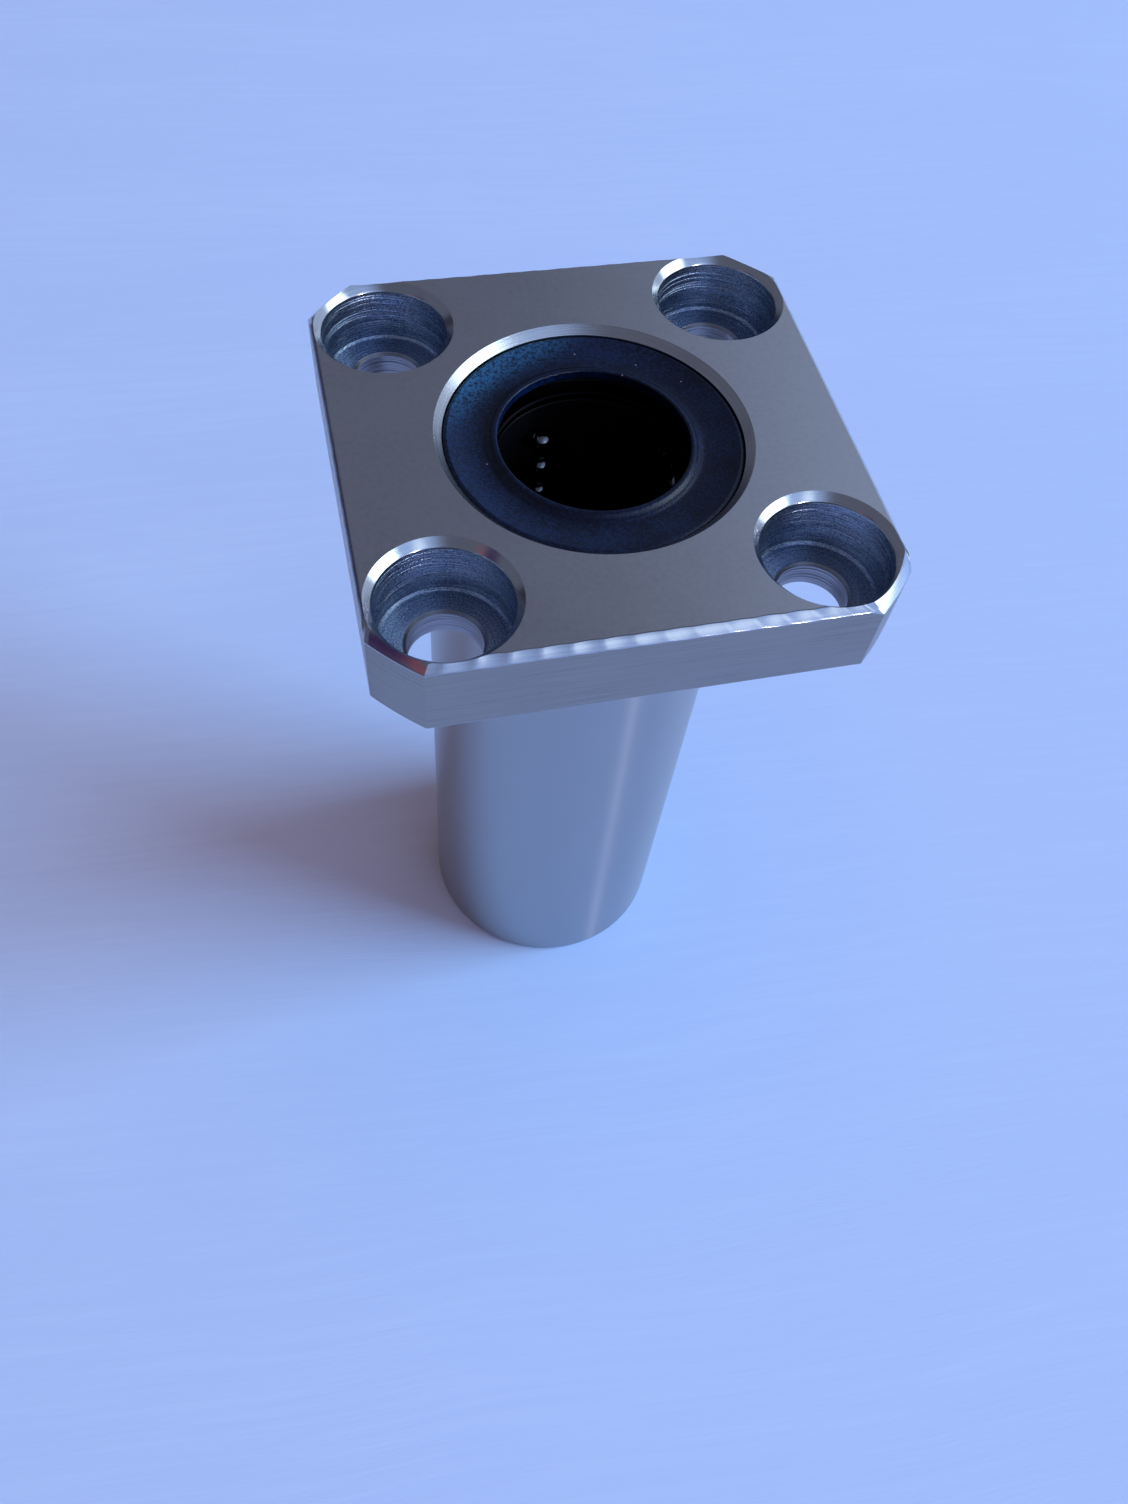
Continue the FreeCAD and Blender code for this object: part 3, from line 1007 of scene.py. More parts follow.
@dataclass
class FlangedSleeve:
    """The barrel, the square flange and the bore, as one steel piece.

    Attributes:
        length: height of the sleeve.
        barrel_radius: radius of the barrel.
        barrel_chamfer: chamfers at the barrel's plain end, outside and inside.
        raceway_radius: radius of the bore that the balls run on.
        relief_radius: radius of the floors of the grooves for the returning balls.
        relief_sides: distances of such a groove's two walls from the plane of its loaded row.
        seat_radius: radius of the seal seats.
        seat_depth: their depth.
        seat_chamfer: edge chamfer of the upper seat.
        groove_radius: radius of the snap ring grooves.
        groove_depths: depths of a snap ring groove's two walls below the end of the sleeve.
        flange_thickness: height of the flange.
        half_side: half of the flange's width.
        corner_radius: radius of the flange's turned corners.
        top_bevel: width of the top's bevels along the front and the back.
        bottom_bevel: width of the underside's bevels there and on the corners.
        side_share: share of these widths that the bevels along the +X and -X sides have.
        corner_bevels: width of the top's bevel on each corner, counter-clockwise after the +X side.
        run_in: steps at a side's ends along which its bevel's foot widens to the corners' widths.
        edge_round: radius where a bevel runs into a face.
        round_steps: steps of that rounding.
        undercut_depth: depth of the grinding undercut between barrel and flange.
        undercut_width: its width on the barrel and under the flange.
        circuit_angle: angle of the first ball circuit round the shaft, in degrees.
        ring_lead: angle from there to the first point of a turned ring.
        chatter_pitch: length of one scallop that the tool left along a bevel.
        chatter_depth: depth of the scallops along the front and the back.
        chatter_share: share of that depth along the other two sides.
        chatter_spread: share of it that the shallowest scallop has.
        chatter_fade: how many times shorter than a side the scallops' fading end is.
        chatter_most: more scallops than a side can have.
        chatter_seed: seed of the scallops.
        side_steps: steps along a side.
        corner_steps: steps along a turned corner.
        floor_steps: steps along a relief groove's floor.
        track_steps: steps along the bore between two grooves.
    """

    length: float = 57.0
    barrel_radius: float = 10.5
    barrel_chamfer: float = 0.3
    raceway_radius: float = 8.421
    relief_radius: float = 9.2725
    relief_sides: Pair = (0.45, 4.6743)
    seat_radius: float = 9.401
    seat_depth: float = 1.6
    seat_chamfer: float = 0.5
    groove_radius: float = 8.901
    groove_depths: Pair = (1.9, 2.6)
    flange_thickness: float = 6.0
    half_side: float = 16.0
    corner_radius: float = 20.75
    top_bevel: float = 0.45
    bottom_bevel: float = 0.4
    side_share: float = 0.58
    corner_bevels: tuple[float, ...] = (0.50, 0.54, 0.54, 0.80)
    run_in: int = 4
    edge_round: float = 0.12
    round_steps: int = 3
    undercut_depth: float = 0.2
    undercut_width: float = 1.2
    circuit_angle: float = 12.0
    ring_lead: float = 1.0
    chatter_pitch: float = 1.8
    chatter_depth: float = 0.048
    chatter_share: float = 0.2
    chatter_spread: float = 0.35
    chatter_fade: float = 12.0
    chatter_most: int = 40
    chatter_seed: int = 5
    side_steps: int = 120
    corner_steps: int = 14
    floor_steps: int = 16
    track_steps: int = 30

    @property
    def columns(self) -> int:
        """Points of a turned ring, so that it matches a section through the bore."""
        return 4 * (self.floor_steps + self.track_steps + 2)

    def bore_section(self, radius: float, height: float) -> list[Place]:
        """Level section of the bore with its four relief grooves.

        Args:
            radius: radius between the grooves.
            height: height of the section.

        Returns:
            The points, counter-clockwise, as many as a turned ring has.
        """
        near, far = self.relief_sides
        floor = self.relief_radius
        low, high = math.asin(near / floor), math.asin(far / floor)
        start, end = math.asin(far / radius), QUARTER_TURN + math.asin(near / radius)
        quarter: list[Point] = [(math.sqrt(radius**2 - near**2), near)]
        for i in range(self.floor_steps + 1):
            angle = low + (high - low) * i / self.floor_steps
            quarter.append((floor * math.cos(angle), floor * math.sin(angle)))
        for i in range(self.track_steps):
            angle = start + (end - start) * i / self.track_steps
            quarter.append((radius * math.cos(angle), radius * math.sin(angle)))
        points = []
        for turn in range(4):
            angle = math.radians(self.circuit_angle + 90 * turn)
            cos, sin = math.cos(angle), math.sin(angle)
            points += [(cos * x - sin * y, sin * x + cos * y, height) for x, y in quarter]
        return points

    def turned_ring(self, radius: float, height: float) -> list[Place]:
        """A round section with as many points as a section of the bore."""
        return circle(radius, height, self.columns, math.radians(self.circuit_angle + self.ring_lead))

    def turning(self) -> list[tuple[list[Place], Face]]:
        """All that is turned, bored and ground: the sections in order, through the bore and up the barrel.

        Returns:
            Each section with the finish of the band that follows it.
        """
        top, track, seat = self.length, self.raceway_radius, self.seat_radius
        upper_seat = [
            (seat + self.seat_chamfer, top),
            (seat, top - self.seat_chamfer),
            (seat, top - self.seat_depth),
        ]
        rows = [(self.turned_ring(radius, height), Face.SEAT) for radius, height in upper_seat]
        groove = self.groove_radius
        near, deep = self.groove_depths
        bored = [(track, self.seat_depth), (track, near), (groove, near), (groove, deep), (track, deep)]
        rows += [(self.bore_section(radius, top - depth), Face.BORE) for radius, depth in bored]
        rows += [(self.bore_section(radius, depth), Face.BORE) for radius, depth in reversed(bored)]
        edge, depth, width = self.barrel_chamfer, self.undercut_depth, self.undercut_width
        rim, neck = self.barrel_radius, self.barrel_radius - depth
        under, outer = top - self.flange_thickness, rim + width
        outside = [
            (seat, self.seat_depth, Face.SEAT),
            (seat, edge, Face.SEAT),
            (seat + edge, 0.0, Face.SEAT),
            (rim - edge, 0.0, Face.SEAT),
            (rim, edge, Face.BARREL),
            (rim, under - width, Face.SEAT),
            (neck, under - width + depth, Face.SEAT),
            (neck, under + depth, Face.SEAT),
            (outer - depth, under + depth, Face.SEAT),
            (outer, under, Face.GROUND),
        ]
        return rows + [(self.turned_ring(radius, height), face) for radius, height, face in outside]

    def scallops(self) -> list[float]:
        """Depth of the chatter at each point round the flange.

        Returns:
            Depths along the four sides, and 0 along the corners.
        """
        draw = random.Random(self.chatter_seed)
        depths = []
        width = 2 * math.sqrt(self.corner_radius**2 - self.half_side**2)
        for side in range(4):
            deepest = self.chatter_depth if side % 2 else self.chatter_share * self.chatter_depth
            phase = draw.random()
            weights = [draw.uniform(self.chatter_spread, 1.0) for _ in range(self.chatter_most)]
            for i in range(self.side_steps + 1):
                share = i / self.side_steps
                place = phase + share * width / self.chatter_pitch
                hollow = 1.0 - (2.0 * (place % 1.0) - 1.0) ** 2
                fade = min(1.0, self.chatter_fade * share, self.chatter_fade * (1.0 - share))
                depths.append(deepest * hollow * fade * weights[int(place)])
            depths += [0.0] * (self.corner_steps - 1)
        return depths

    def rim(self, bevel: float) -> list[Point]:
        """Section of a flange edge: a bevel that is rounded a little into the faces at both its ends.

        Args:
            bevel: width of the bevel.

        Returns:
            Inset from the flange's side and drop from its face of each point, from the face to the side.
        """
        turn = self.edge_round
        reach = turn * math.tan(EIGHTH_TURN / 2)
        angles = [EIGHTH_TURN * i / self.round_steps for i in range(self.round_steps + 1)]
        upper = [(bevel + reach - turn * math.sin(a), turn * (1.0 - math.cos(a))) for a in angles]
        return upper + [(drop, inset) for inset, drop in reversed(upper)]

    def bevel_widths(self, bevel: float, corners: Sequence[float], run_in: int) -> list[float]:
        """Width of a bevel at each point round the flange.

        Args:
            bevel: width along the front and the back.
            corners: width on each turned corner, counter-clockwise from the one after the +X side.
            run_in: steps at a side's ends along which it widens to the corners' widths.

        Returns:
            The widths, with a smaller one than the front's along the +X and -X sides.
        """
        widths = []
        for turn, corner in enumerate(corners):
            side = bevel if turn % 2 else self.side_share * bevel
            for i in range(self.side_steps + 1):
                to_end = min(i, self.side_steps - i)
                share = 1.0 - to_end / run_in if to_end < run_in else 0.0
                nearer = corner if 2 * i > self.side_steps else corners[turn - 1]
                widths.append(side + (nearer - side) * share)
            widths += [corner] * (self.corner_steps - 1)
        return widths

    def corner(self, inset: float, turned: float) -> Pair:
        """Where a side meets a turned corner.

        Args:
            inset: how far the edge lies inside the flange's full size along the side.
            turned: how far it lies inside along the corner.

        Returns:
            The end's distance from the side's middle, and its angle round the shaft from there.
        """
        side, radius = self.half_side - inset, self.corner_radius - turned
        half = math.sqrt(radius**2 - side**2)
        return half, math.atan2(half, side)

    def outline(self, spots: Sequence[Point], chatter: Sequence[float], inward: bool) -> list[Place]:
        """One ring of points round the flange's edge.

        Args:
            spots: inset from the flange's full size and height of each point.
            chatter: depth of the scallops at each point.
            inward: whether the scallops move the points inward, or else down.

        Returns:
            The points, counter-clockwise from the +X side's -Y end.
        """
        count = len(spots) // 4
        sides = [inset for inset, _ in spots[::count]]
        corners = [inset for inset, _ in spots[count - 1 :: count]]
        points = []
        for turn, (cos, sin) in enumerate(SIDE_WAYS):
            before, _ = self.corner(sides[turn], corners[turn - 1])
            half, start = self.corner(sides[turn], corners[turn])
            _, end = self.corner(sides[(turn + 1) % len(sides)], corners[turn])
            sweep = QUARTER_TURN - start - end
            for k in range(count):
                inset, height = spots[turn * count + k]
                depth = math.sqrt(2) * chatter[turn * count + k]
                angle = start + sweep * (k - self.side_steps) / self.corner_steps
                x, y = self.half_side - inset, (before + half) * k / self.side_steps - before
                if k > self.side_steps:
                    reach = self.corner_radius - inset
                    x, y = reach * math.cos(angle), reach * math.sin(angle)
                if inward:
                    x -= depth
                points.append((cos * x - sin * y, sin * x + cos * y, height if inward else height - depth))
        return points

    def rims(self, bevel: float, corners: Sequence[float], face: float, inside: int) -> list[list[Point]]:
        """Insets and heights of the rings of a flange edge.

        Args:
            bevel: width of the bevel along the front and the back.
            corners: its width on each turned corner.
            face: height of the flange's face.
            inside: 1 if the flange lies above that face, and -1 if it lies below.

        Returns:
            The rings, from the face to the side. Only those at the bevel's foot run in to the corners.
        """
        upper, foot = (
            list(zip(*(self.rim(width) for width in self.bevel_widths(bevel, corners, run_in))))
            for run_in in (0, self.run_in)
        )
        half = len(upper) // 2
        rings = upper[:half] + foot[half:]
        return [[(inset, face + inside * drop) for inset, drop in ring] for ring in rings]

    def build(self) -> bpy.types.Object:
        """Builds the sleeve without its bolt holes.

        Returns:
            The piece, in millimetres, for dress() to finish.
        """
        skin = Skin()
        rows = self.turning()
        rings = [skin.ring(points) for points, _ in rows]
        for (first, second), (_, face) in zip(pairwise(rings), rows):
            skin.strip(first, second, face.value)
        top, under = self.length, self.length - self.flange_thickness
        chatter = self.scallops()
        still = [0.0] * len(chatter)
        upper = self.rims(self.top_bevel, self.corner_bevels, top, -1)
        lower = self.rims(self.bottom_bevel, [self.bottom_bevel] * 4, under, 1)
        half = len(upper) // 2
        edges = [skin.ring(self.outline(spots, chatter, i < half)) for i, spots in enumerate(upper)]
        edges += [skin.ring(self.outline(spots, still, False)) for spots in reversed(lower)]
        for i, (first, second) in enumerate(pairwise(edges)):
            skin.strip(first, second, Face.SIDE.value if i == len(upper) - 1 else Face.BEVEL.value)
        skin.sheet(edges[0], rings[0], Face.GROUND.value)
        skin.sheet(edges[-1], rings[-1], Face.GROUND.value)
        return new_piece("flanged_sleeve_machined", skin.finish("flanged_sleeve_machined", 1.0))

    def dress(self, piece: bpy.types.Object, holes: BoltHoles) -> None:
        """Drills the bolt holes, gives every face its finish and scales the piece to metres.

        Args:
            piece: the sleeve as build() left it.
            holes: the holes to drill.
        """
        finishes = {face: finish.material() for face, finish in SLEEVE_FINISHES.items()}
        for face in Face:
            piece.data.materials.append(finishes[face])
        drill = holes.drill()
        values = {
            "Drill": drill,
            "Count": holes.count,
            "Circle Radius": holes.circle_radius,
            "First Angle": math.radians(holes.first_angle),
            "Wander": holes.wander,
            "Seed": holes.wander_seed,
            "Cut Finish": finishes[Face.CUT],
            "Edge Finish": finishes[Face.HOLE_EDGE],
            "Drilled Finish": finishes[Face.DRILLED],
        }
        holes.tree().run(piece, values)
        bpy.data.objects.remove(drill)
        piece.data.transform(Matrix.Scale(METRE, 4))
        shade(piece.data)
        # The ground faces are flat, and smoothing would shade their long triangles unevenly.
        for polygon in piece.data.polygons:
            polygon.use_smooth = polygon.material_index != Face.GROUND.value
        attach(piece, HOUSING)
        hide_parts("flanged_sleeve")


class End(Enum):
    """The two ends of the bearing."""

    UPPER = "upper"
    LOWER = "lower"


@dataclass
class Seal:
    """A rubber end seal with a dished face and a raised, ribbed lip.

    Attributes:
        end: which end of the bearing it closes.
        outer: radius of its rim.
        shaft: radius of its lip.
        recess: depth of its face below the end of the sleeve.
        thickness: height of the ring.
        rim_edge: radius of the rim's rounded edge.
        dish: how far the face falls from the rim to the lip.
        lip_width: width of the slope up to the lip.
        lip_rise: how far the lip stands above the dish.
        lip_round: radius of the lip's crest.
        lip_length: length of the lip along the shaft.
        ribs: rings that stand on the slope.
        rib_height: their height.
        length: length of the bearing.
        rim_steps: steps of the rounded rim.
        dish_steps: steps of the dished face.
        rib_steps: steps across one rib.
        lip_steps: steps of the lip's crest.
        segments: sides of the ring.
    """

    end: End
    outer: float = 9.381
    shaft: float = 6.0
    recess: float = 0.5
    thickness: float = 1.1
    rim_edge: float = 0.3
    dish: float = 0.40
    lip_width: float = 0.85
    lip_rise: float = 0.38
    lip_round: float = 0.12
    lip_length: float = 0.45
    ribs: int = 2
    rib_height: float = 0.03
    length: float = 57.0
    rim_steps: int = 5
    dish_steps: int = 12
    rib_steps: int = 10
    lip_steps: int = 6
    segments: int = 160

    def profile(self) -> list[Point]:
        """Section of the seal at the flange end, from the rim's foot over the face to the flare.

        Returns:
            Radius and depth below the end face of each point.
        """
        face, foot = self.recess, self.recess + self.thickness
        edge = self.outer - self.rim_edge
        points = [(self.outer, foot)]
        for i in range(self.rim_steps + 1):
            angle = QUARTER_TURN * i / self.rim_steps
            drop = self.rim_edge * (1.0 - math.sin(angle))
            points.append((edge + self.rim_edge * math.cos(angle), face + drop))
        brim = self.shaft + self.lip_width
        for i in range(1, self.dish_steps + 1):
            share = i / self.dish_steps
            points.append((edge + (brim - edge) * share, face + self.dish * (1.0 - (1.0 - share) ** 2)))
        crest = self.shaft + self.lip_round
        top = face + self.dish - self.lip_rise
        steps = self.rib_steps * self.ribs
        for i in range(1, steps):
            share = i / steps
            swell = self.rib_height * math.sin(math.pi * share * self.ribs) ** 2
            rise = self.lip_rise * share**2 * (3.0 - 2.0 * share)
            points.append((brim + (crest - brim) * share, face + self.dish - rise - swell))
        for i in range(self.lip_steps + 1):
            angle = QUARTER_TURN * i / self.lip_steps
            drop = self.lip_round * (1.0 - math.cos(angle))
            points.append((crest - self.lip_round * math.sin(angle), top + drop))
        low = top + self.lip_round + self.lip_length
        points.append((self.shaft, low))
        points.append((self.shaft + foot - low, foot))
        return points

    def build(self) -> bpy.types.Object:
        """Builds the ring.

        Returns:
            The piece, in metres.
        """
        skin = Skin()
        rings = []
        for radius, depth in self.profile():
            height = self.length - depth if self.end is End.UPPER else depth
            rings.append(skin.ring(circle(radius, height, self.segments)))
        for first, second in pairwise(rings + rings[:1]):
            skin.strip(first, second)
        name = f"{self.end.value}_seal_ring"
        return new_piece(name, skin.finish(name))

    def dress(self, piece: bpy.types.Object, rubber: bpy.types.Material) -> None:
        """Gives the ring its rubber and its place in the bearing.

        Args:
            piece: the ring as build() left it.
            rubber: its finish.
        """
        piece.data.materials.append(rubber)
        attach(piece, HOUSING)
        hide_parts(f"{self.end.value}_seal")


class Run(Enum):
    """The four groups of balls in one circuit."""

    LOAD = "load"
    TOP_TURN = "top_turn"
    RETURN = "return"
    BOTTOM_TURN = "bottom_turn"


@dataclass
class BallCircuits:
    """The balls of all circuits, one train of balls for each moving body.

    Attributes:
        ball_radius: radius of a ball.
        track_radius: distance of the loaded balls' centres from the shaft axis.
        pitch: distance from ball to ball along a row.
        per_row: balls in a straight row.
        row_spacing: distance between the loaded row and the returning row.
        first_angle: angle of the first loaded row round the shaft, in degrees.
        circuits: circuits in each retainer.
        lower_start: height where the straight rows start in the lower retainer.
        upper_start: height where they start in the upper retainer.
        facets: how often a ball's faces are divided.
    """

    ball_radius: float = 1.1905
    track_radius: float = 7.2105
    pitch: float = 2.421
    per_row: int = 7
    row_spacing: float = 3.42381
    first_angle: float = 12.0
    circuits: int = 4
    lower_start: float = 7.2915
    upper_start: float = 32.7615
    facets: int = 3

    def trains(self, low: float) -> dict[Run, list[Point]]:
        """Places of a circuit's balls.

        Args:
            low: height where its straight rows start.

        Returns:
            For each group, how far along from the loaded row and how high each ball is.
        """
        high = low + self.per_row * self.pitch
        turn = self.row_spacing / 2
        steps = [i * self.pitch for i in range(self.per_row)]
        return {
            Run.LOAD: [(0.0, low + step) for step in steps],
            Run.TOP_TURN: [(0.0, high), (turn, high + turn)],
            Run.RETURN: [(self.row_spacing, high - step) for step in steps],
            Run.BOTTOM_TURN: [(self.row_spacing, low), (turn, low - turn)],
        }

    def tree(self) -> PieceTree:
        """The tree that sets a straight train of balls.

        Returns:
            A tree with the count, first place, step, ball size and finish as inputs.
        """
        inputs = {
            "Count": "NodeSocketInt",
            "First Ball": "NodeSocketVector",
            "Step": "NodeSocketVector",
            "Ball Radius": "NodeSocketFloat",
            "Facets": "NodeSocketInt",
            "Finish": "NodeSocketMaterial",
        }
        made = PieceTree("ball_train", inputs)
        graph = made.graph
        row = {"Count": made.value("Count"), "Start Location": made.value("First Ball")}
        row = graph.node("GeometryNodeMeshLine", {"mode": "OFFSET"}, {**row, "Offset": made.value("Step")})
        size = {"Radius": made.value("Ball Radius"), "Subdivisions": made.value("Facets")}
        ball = graph.node("GeometryNodeMeshIcoSphere", None, size)
        ball = graph.node("GeometryNodeSetShadeSmooth", None, {"Geometry": ball})
        train = graph.node("GeometryNodeInstanceOnPoints", None, {"Points": row, "Instance": ball})
        train = graph.node("GeometryNodeRealizeInstances", None, {0: train})
        dressed = {"Geometry": train, "Material": made.value("Finish")}
        made.end(graph.node("GeometryNodeSetMaterial", None, dressed))
        return made

    def build(self, steel: bpy.types.Material) -> list[bpy.types.Object]:
        """Builds and places every train.

        Args:
            steel: finish of the balls.

        Returns:
            The trains, each on its own body.
        """
        tree = self.tree()
        made = []
        for end, low in ((End.LOWER, self.lower_start), (End.UPPER, self.upper_start)):
            for number in range(1, self.circuits + 1):
                angle = math.radians(self.first_angle + 360.0 * (number - 1) / self.circuits)
                turn = Matrix.Rotation(angle, 3, "Z")
                for run, spots in self.trains(low).items():
                    places = [turn @ Vector((self.track_radius, *spot)) for spot in spots]
                    body = f"{end.value}_{number}_{run.value}"
                    made.append(self.train(tree, body, places, steel))
        return made

    def train(
        self, tree: PieceTree, body: str, places: Sequence[Vector], steel: bpy.types.Material
    ) -> bpy.types.Object:
        """One train of balls on its body.

        Args:
            tree: the tree that sets the balls.
            body: the body that carries them.
            places: centres of the balls, evenly spaced on a line.
            steel: finish of the balls.

        Returns:
            The piece, in metres.
        """
        piece = new_piece(f"{body}_train", bpy.data.meshes.new(f"{body}_train"))
        values = {
            "Count": len(places),
            "First Ball": places[0] * METRE,
            "Step": (places[1] - places[0]) * METRE,
            "Ball Radius": self.ball_radius * METRE,
            "Facets": self.facets,
            "Finish": steel,
        }
        tree.run(piece, values)
        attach(piece, body)
        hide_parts(f"{body}_balls")
        return piece


@dataclass
class InnerParts:
    """The pieces of the CAD frame that show as they are: rings and retainers.

    Attributes:
        kinds: the kinds of piece, each of which is there at both ends.
    """

    kinds: tuple[str, ...] = ("snap_ring", "end_ring", "retainer")

    def dress(self, finishes: dict[str, bpy.types.Material]) -> list[str]:
        """Gives each piece its finish.

        Args:
            finishes: the finish of each kind of piece.

        Returns:
            Names of the pieces.
        """
        names = []
        for end in End:
            for kind in self.kinds:
                name = f"{end.value}_{kind}"
                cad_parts[name].material_slots[0].material = finishes[kind]
                names.append(name)
        return names


def direction_to(azimuth: float, elevation: float) -> Vector:
    """Direction at these angles in degrees, from +X round Z and up from the floor."""
    turn, rise = math.radians(azimuth), math.radians(elevation)
    return Vector((math.cos(turn) * math.cos(rise), math.sin(turn) * math.cos(rise), math.sin(rise)))


@dataclass(frozen=True)
class SoftLamp:
    """A lamp that faces the bearing.

    Attributes:
        name: name of the lamp.
        azimuth: where it stands round Z, in degrees from +X.
        elevation: its angle above the floor.
        size: width and height in metres.
        power: its power in watts.
        colour: colour of its light.
        mirrored: whether polished faces show it.
        matt: whether dull faces are lit by it.
        distance: how far it is from the bearing, in metres.
    """

    name: str
    azimuth: float
    elevation: float
    size: Pair
    power: float
    colour: Colour
    mirrored: bool = True
    matt: bool = True
    distance: float = 3.0

    def build(self) -> None:
        """Puts the lamp into the scene."""
        lamp = bpy.data.lights.new(self.name, "AREA")
        lamp.shape = "RECTANGLE"
        lamp.size, lamp.size_y = self.size
        lamp.energy = self.power
        lamp.color = self.colour
        holder = bpy.data.objects.new(self.name, lamp)
        place = direction_to(self.azimuth, self.elevation) * self.distance
        holder.matrix_world = Matrix.Translation(place) @ place.to_track_quat("Z", "Y").to_matrix().to_4x4()
        holder.visible_glossy = self.mirrored
        holder.visible_diffuse = self.matt
        bpy.context.scene.collection.objects.link(holder)


@dataclass(frozen=True)
class Glow:
    """A soft patch of the room round the bearing.

    Attributes:
        azimuth: where its middle is round Z, in degrees from +X.
        elevation: angle of its middle above the floor.
        inner: angle from the middle within which it is full.
        outer: angle from the middle beyond which it is gone.
        colour: colour of its light.
    """

    azimuth: float
    elevation: float
    inner: float
    outer: float
    colour: Colour

    def lay(self, graph: Graph, way: Signal, under: Union[Signal, Colour]) -> Signal:
        """Lays the glow over what is there already.

        Args:
            graph: tree of the world.
            way: the direction's first component, whose node gives the others.
            under: the light without this glow.

        Returns:
            The light with it.
        """
        middle = direction_to(self.azimuth, self.elevation)
        near = way * middle.x + way.also(1) * middle.y + way.also(2) * middle.z
        edge, full = (math.cos(math.radians(angle)) for angle in (self.outer, self.inner))
        return graph.mix(under, self.colour, near.step(edge, full))


LAMPS = (
    SoftLamp(
        "window_lamp", azimuth=-14.5, elevation=20.0, size=(2.05, 2.1), power=198.0,
        colour=(0.44, 0.70, 1.0), mirrored=False,
    ),
    SoftLamp(
        "window_side_lamp", azimuth=-62.0, elevation=9.0, size=(0.1, 0.9), power=22.0,
        colour=(0.88, 0.84, 1.0), matt=False,
    ),
    SoftLamp(
        "ceiling_lamp", azimuth=0.0, elevation=90.0, size=(3.0, 3.0), power=44.0,
        colour=(1.0, 0.34, 0.03), mirrored=False,
    ),
)
ROOM_COLOUR: Colour = (0.125, 0.14, 0.20)
GLOWS = (
    Glow(azimuth=-58.0, elevation=25.0, inner=8.0, outer=42.0, colour=(0.43, 0.62, 1.08)),
    Glow(azimuth=-67.0, elevation=34.0, inner=3.0, outer=9.0, colour=(1.10, 1.35, 1.70)),
    Glow(azimuth=28.0, elevation=22.0, inner=10.0, outer=45.0, colour=(0.44, 0.55, 0.80)),
    Glow(azimuth=-14.5, elevation=20.0, inner=18.0, outer=23.0, colour=(2.8, 3.5, 4.1)),
    Glow(azimuth=134.0, elevation=1.0, inner=7.0, outer=16.0, colour=(0.030, 0.030, 0.045)),
    Glow(azimuth=-165.0, elevation=25.0, inner=6.0, outer=12.0, colour=(0.050, 0.022, 0.095)),
    Glow(azimuth=-150.0, elevation=27.0, inner=2.0, outer=7.0, colour=(0.36, 0.095, 0.120)),
)


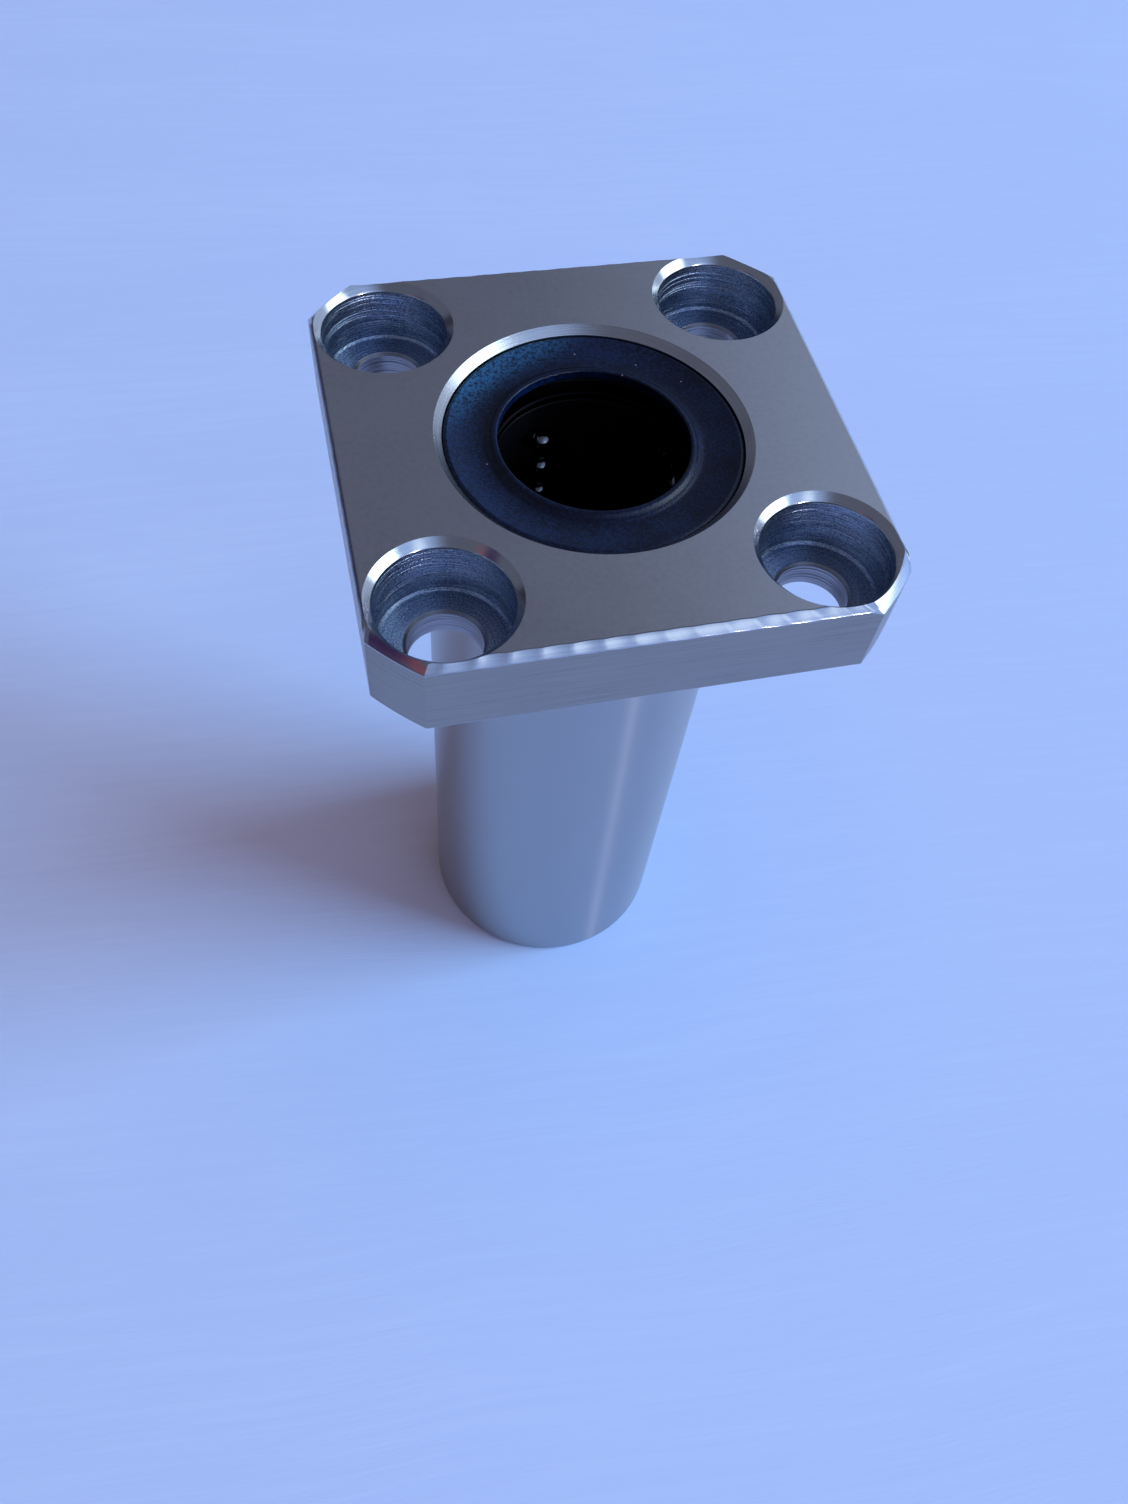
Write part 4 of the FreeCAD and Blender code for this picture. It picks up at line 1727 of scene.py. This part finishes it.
@dataclass
class Studio:
    """Floor, light and camera.

    Attributes:
        camera_place: where the camera stands, in millimetres.
        azimuth: its angle round Z, in degrees, from straight in front.
        elevation: its angle above the floor.
        roll: how far it is tilted about its own line of sight.
        lens: focal length for this picture side.
        picture_side: the picture's longer side on the sensor, in millimetres.
        nearest: distance from which the camera sees, in metres.
        floor_half: half of the floor's width, in metres.
    """

    camera_place: Place = (-17.712, -52.128, 107.920)
    azimuth: float = -19.582
    elevation: float = 58.026
    roll: float = 7.881
    lens: float = 28.296
    picture_side: float = 36.0
    nearest: float = 0.001
    floor_half: float = 3.0

    def build(self) -> None:
        """Builds the whole stage."""
        self.floor()
        for lamp in LAMPS:
            lamp.build()
        self.world()
        self.camera()
        bpy.context.scene.view_settings.view_transform = "Standard"

    def floor(self) -> None:
        """A wide board under the bearing."""
        half = self.floor_half
        corners = [(-half, -half, 0.0), (half, -half, 0.0), (half, half, 0.0), (-half, half, 0.0)]
        mesh = bpy.data.meshes.new("floor_board")
        mesh.from_pydata(corners, [], [(0, 1, 2, 3)])
        mesh.materials.append(FLOOR_FINISH.material())
        new_piece("floor_board", mesh)

    def world(self) -> None:
        """Dim soft light from all round, with its glows laid over it in order and kept out of sight."""
        world = bpy.data.worlds.new("studio")
        world.use_nodes = True
        world.node_tree.nodes.clear()
        graph = Graph(world.node_tree)
        direction = graph.node("ShaderNodeTexCoord", None, None, "Generated")
        way = graph.node("ShaderNodeSeparateXYZ", None, {0: direction})
        light: Union[Signal, Colour] = ROOM_COLOUR
        for glow in GLOWS:
            light = glow.lay(graph, way, light)
        seen = graph.node("ShaderNodeLightPath", None, None, "Is Camera Ray")
        light = graph.mix(light, ROOM_COLOUR, seen)
        background = graph.node("ShaderNodeBackground", None, {"Color": light, "Strength": 1.0})
        graph.node("ShaderNodeOutputWorld", None, {"Surface": background})
        bpy.context.scene.world = world

    def camera(self) -> None:
        """The camera, at the photograph's viewing angle."""
        turn, rise, roll = (math.radians(a) for a in (self.azimuth, self.elevation, self.roll))
        back = Vector((math.sin(turn) * math.cos(rise), -math.cos(turn) * math.cos(rise), math.sin(rise)))
        right = Vector((math.cos(turn), math.sin(turn), 0.0))
        up = back.cross(right)
        tilted_right = math.cos(roll) * right + math.sin(roll) * up
        tilted_up = math.cos(roll) * up - math.sin(roll) * right
        data = bpy.data.cameras.new("photo_camera")
        data.lens = self.lens
        data.sensor_width = self.picture_side
        data.clip_start = self.nearest
        holder = bpy.data.objects.new("photo_camera", data)
        axes = Matrix((tilted_right, tilted_up, back)).transposed().to_4x4()
        holder.matrix_world = Matrix.Translation(Vector(self.camera_place) * METRE) @ axes
        bpy.context.scene.collection.objects.link(holder)
        bpy.context.scene.camera = holder


def main() -> None:
    """Builds the stage, then the bearing piece by piece."""
    logging.basicConfig(level=logging.INFO, format="%(name)s: %(message)s")
    Studio().build()
    sleeve = FlangedSleeve()
    piece = sleeve.build()
    sleeve.dress(piece, BoltHoles())
    log.info("%s: %d faces", piece.name, len(piece.data.polygons))
    rubber = SEAL_FINISH.material()
    for end in End:
        seal = Seal(end)
        piece = seal.build()
        seal.dress(piece, rubber)
        log.info("%s: %d faces", piece.name, len(piece.data.polygons))
    trains = BallCircuits().build(BALL_FINISH.material())
    for train in trains:
        log.info("%s: %d faces", train.name, len(train.data.polygons))
    finishes = {
        "snap_ring": SPRING_FINISH.material(),
        "end_ring": END_RING_FINISH.material(),
        "retainer": RETAINER_FINISH.material(),
    }
    for name in InnerParts().dress(finishes):
        log.info("%s: from the CAD frame", name)


if __name__ == "__main__":
    main()
